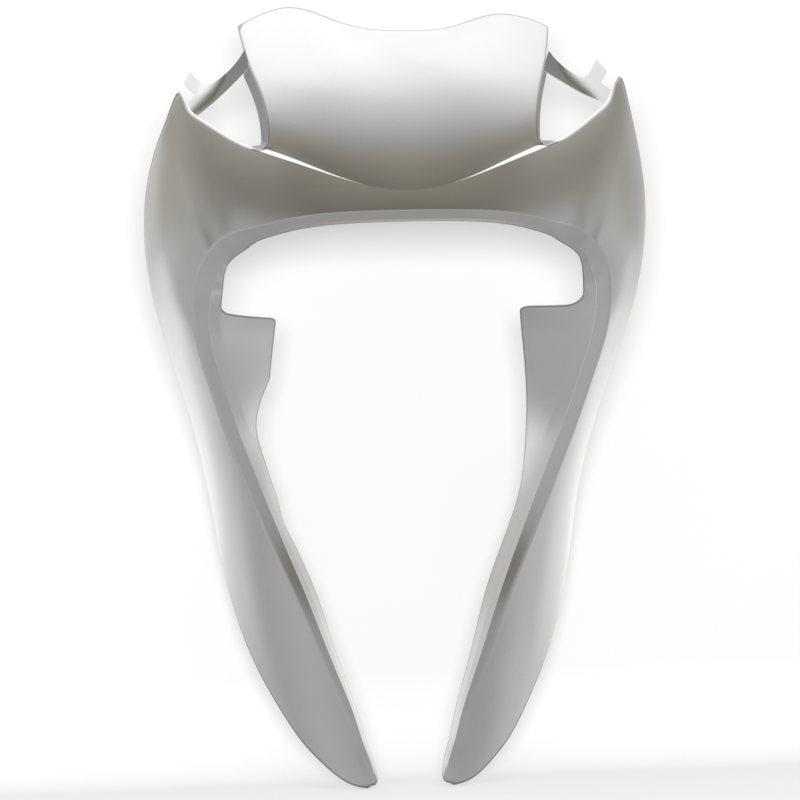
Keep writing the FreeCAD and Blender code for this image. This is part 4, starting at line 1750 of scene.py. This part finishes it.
@dataclass(frozen=True)
class Softbox:
    """Soft lamp: its place, its width and height, and the radiance of its face."""

    name: str
    spot: tuple
    size: tuple
    bright: float


@dataclass
class Studio:
    """Pale sweep, soft lamps, reflection tent and the camera."""

    nose: tuple = (0.0, -0.062, -0.060)
    distance: float = 1.8
    yaw: float = 5.0
    roll: float = 1.5
    aside: float = -0.01085
    under: float = -0.1499
    lens: float = 110.2
    sensor: float = 36.0
    wall_gap: float = 0.045
    floor_gap: float = 0.0015
    sweep_round: float = 0.08
    sweep_steps: int = 12
    reach: float = 4.0
    tent_radius: float = 0.9
    tent_segments: tuple = (48, 32)
    paper_white: float = 0.30
    paper_glow: float = 0.45
    floor_glow: float = 0.53
    fill: float = 0.55
    aim: tuple = (0.0, 0.0, -0.2)
    softboxes: tuple = (
        Softbox("top_softbox", (0.0, -0.7, 1.5), (1.6, 1.6), 1.6),
        Softbox("left_softbox", (-1.6, -1.2, 0.3), (1.2, 1.2), 0.9),
        Softbox("right_softbox", (1.6, -1.2, 0.3), (1.2, 1.2), 0.9))
    paper_softbox: Softbox = Softbox("front_softbox", (-0.17, -1.9, -0.06), (0.55, 0.30), 101.0)

    def camera(self) -> bpy.types.Object:
        """Places the camera where the picture was taken from.

        Returns:
            The camera.
        """
        turn, tilt = math.radians(self.yaw), math.radians(self.roll)
        right = Vector((math.cos(turn), -math.sin(turn), 0.0))
        look = Vector((math.sin(turn), math.cos(turn), 0.0))
        up = Vector((0.0, 0.0, 1.0))
        spot = Vector(self.nose) + right * self.aside + up * self.under - look * self.distance
        side = right * math.cos(tilt) - up * math.sin(tilt)
        top = up * math.cos(tilt) + right * math.sin(tilt)
        data = bpy.data.cameras.new("camera")
        data.lens = self.lens
        data.sensor_width = self.sensor
        made = stand("camera", data)
        made.matrix_world = Matrix((
            (side.x, top.x, -look.x, spot.x), (side.y, top.y, -look.y, spot.y),
            (side.z, top.z, -look.z, spot.z), (0.0, 0.0, 0.0, 1.0)))
        bpy.context.scene.camera = made
        return made

    def sweep(self) -> bpy.types.Object:
        """Pale floor that turns up into a backdrop behind the part.

        Returns:
            The sweep.
        """
        low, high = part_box(NODE)
        floor, wall = low.z - self.floor_gap, high.y + self.wall_gap
        line = [(-self.reach, floor)]
        for k in range(self.sweep_steps + 1):
            turn = math.pi / 2 * k / self.sweep_steps
            line.append((wall - self.sweep_round + self.sweep_round * math.sin(turn),
                         floor + self.sweep_round - self.sweep_round * math.cos(turn)))
        line.append((wall, self.reach))
        points = [(side * self.reach, y, z) for side in (-1, 1) for y, z in line]
        count = len(line)
        faces = [(n, n + count, n + count + 1, n + 1) for n in range(count - 1)]
        mesh = bpy.data.meshes.new("studio_sweep")
        mesh.from_pydata(points, [], faces)
        mesh.polygons.foreach_set("use_smooth", [True] * len(faces))
        mesh.materials.append(self.paper())
        made = stand("studio_sweep", mesh)
        made.visible_glossy = False
        made.visible_diffuse = False
        made.visible_shadow = False
        return made

    def paper(self) -> bpy.types.Material:
        """White paper that keeps a soft shadow and is clear from behind.

        Returns:
            The material.
        """
        made = bpy.data.materials.new("white_paper")
        desk = NodeDesk.fresh(made)
        white = desk.add("ShaderNodeBsdfDiffuse", {"Color": (self.paper_white,) * 3 + (1.0,)})
        side = desk.add("ShaderNodeNewGeometry")
        upward = desk.add("ShaderNodeSeparateXYZ", {0: side.outputs["Normal"]})
        level = desk.add("ShaderNodeMapRange", {
            "Value": upward.outputs[2], "To Min": self.paper_glow, "To Max": self.floor_glow})
        glow = desk.add("ShaderNodeEmission", {"Color": WHITE, "Strength": level.outputs[0]})
        both = desk.add("ShaderNodeAddShader", {0: white.outputs[0], 1: glow.outputs[0]})
        clear = desk.add("ShaderNodeBsdfTransparent")
        pick = desk.add("ShaderNodeMixShader", {
            0: side.outputs["Backfacing"], 1: both.outputs[0], 2: clear.outputs[0]})
        desk.add("ShaderNodeOutputMaterial", {"Surface": pick.outputs[0]})
        return made

    def tent(self) -> bpy.types.Object:
        """Round tent that the gloss mirrors: white roof, dim brown band, pale floor.

        Returns:
            The tent.
        """
        shape = bmesh.new()
        around, upward = self.tent_segments
        bmesh.ops.create_uvsphere(
            shape, u_segments=around, v_segments=upward, radius=self.tent_radius)
        bmesh.ops.reverse_faces(shape, faces=shape.faces)
        bmesh.ops.translate(shape, verts=shape.verts, vec=(0.0, 0.0, self.nose[2]))
        mesh = bpy.data.meshes.new("studio_tent")
        shape.to_mesh(mesh)
        shape.free()
        mesh.polygons.foreach_set("use_smooth", [True] * len(mesh.polygons))
        made = stand("studio_tent", mesh)
        mesh.materials.append(TentCloth(self.tent_radius, self.nose[2]).make())
        made.visible_camera = False
        made.visible_diffuse = False
        made.visible_shadow = False
        made.visible_transmission = False
        return made

    def lamp(self, box: Softbox) -> bpy.types.Object:
        """Hangs a soft lamp that faces the part.

        Args:
            box: name, place, size and radiance of the lamp.

        Returns:
            The lamp.
        """
        data = bpy.data.lights.new(box.name, "AREA")
        data.shape = "RECTANGLE"
        data.size, data.size_y = box.size
        data.energy = box.bright * math.pi * box.size[0] * box.size[1]
        made = stand(box.name, data)
        made.location = box.spot
        way = Vector(self.aim) - Vector(box.spot)
        made.rotation_euler = way.to_track_quat("-Z", "Y").to_euler()
        made.visible_glossy = False
        return made

    def world(self) -> None:
        """White surroundings for the picture, and a plain level of soft light."""
        made = bpy.data.worlds.new("studio")
        bpy.context.scene.world = made
        desk = NodeDesk.fresh(made)
        path = desk.add("ShaderNodeLightPath")
        seen = desk.add("ShaderNodeMath", {
            0: path.outputs["Is Camera Ray"], 1: path.outputs["Is Glossy Ray"]},
            operation="MAXIMUM")
        both = desk.add("ShaderNodeMath", {
            0: seen.outputs[0], 1: path.outputs["Is Transmission Ray"]}, operation="MAXIMUM")
        level = desk.add("ShaderNodeMapRange", {
            "Value": both.outputs[0], "To Min": self.fill, "To Max": 1.0})
        sky = desk.add("ShaderNodeBackground", {"Color": WHITE, "Strength": level.outputs[0]})
        desk.add("ShaderNodeOutputWorld", {"Surface": sky.outputs[0]})

    def build(self) -> None:
        """Sets up the whole studio."""
        bpy.context.scene.view_settings.view_transform = "Standard"
        self.camera()
        paper = self.sweep()
        self.tent()
        for box in self.softboxes:
            self.lamp(box)
        front = self.lamp(self.paper_softbox)
        only = bpy.data.collections.new("paper_only")
        only.objects.link(paper)
        front.light_linking.receiver_collection = only
        self.world()


def main() -> None:
    """Builds the part piece by piece, then the studio round it."""
    logging.basicConfig(level=logging.INFO, format="%(message)s")
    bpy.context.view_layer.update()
    grain, rim = grain_group(), rim_group()
    paint = SilverPaint().make(grain, rim)
    plastic = MouldedPlastic().make(grain, rim)
    form = FairingForm()
    skin = Skin(form)
    shell = skin.build({Face.SHOWN: paint, Face.HIDDEN: plastic})
    WindowReturns(skin).build(plastic)
    Struts(form, skin).build(paint)
    ScrewBosses(shell).build(plastic)
    Studio().build()


if __name__ == "__main__":
    main()
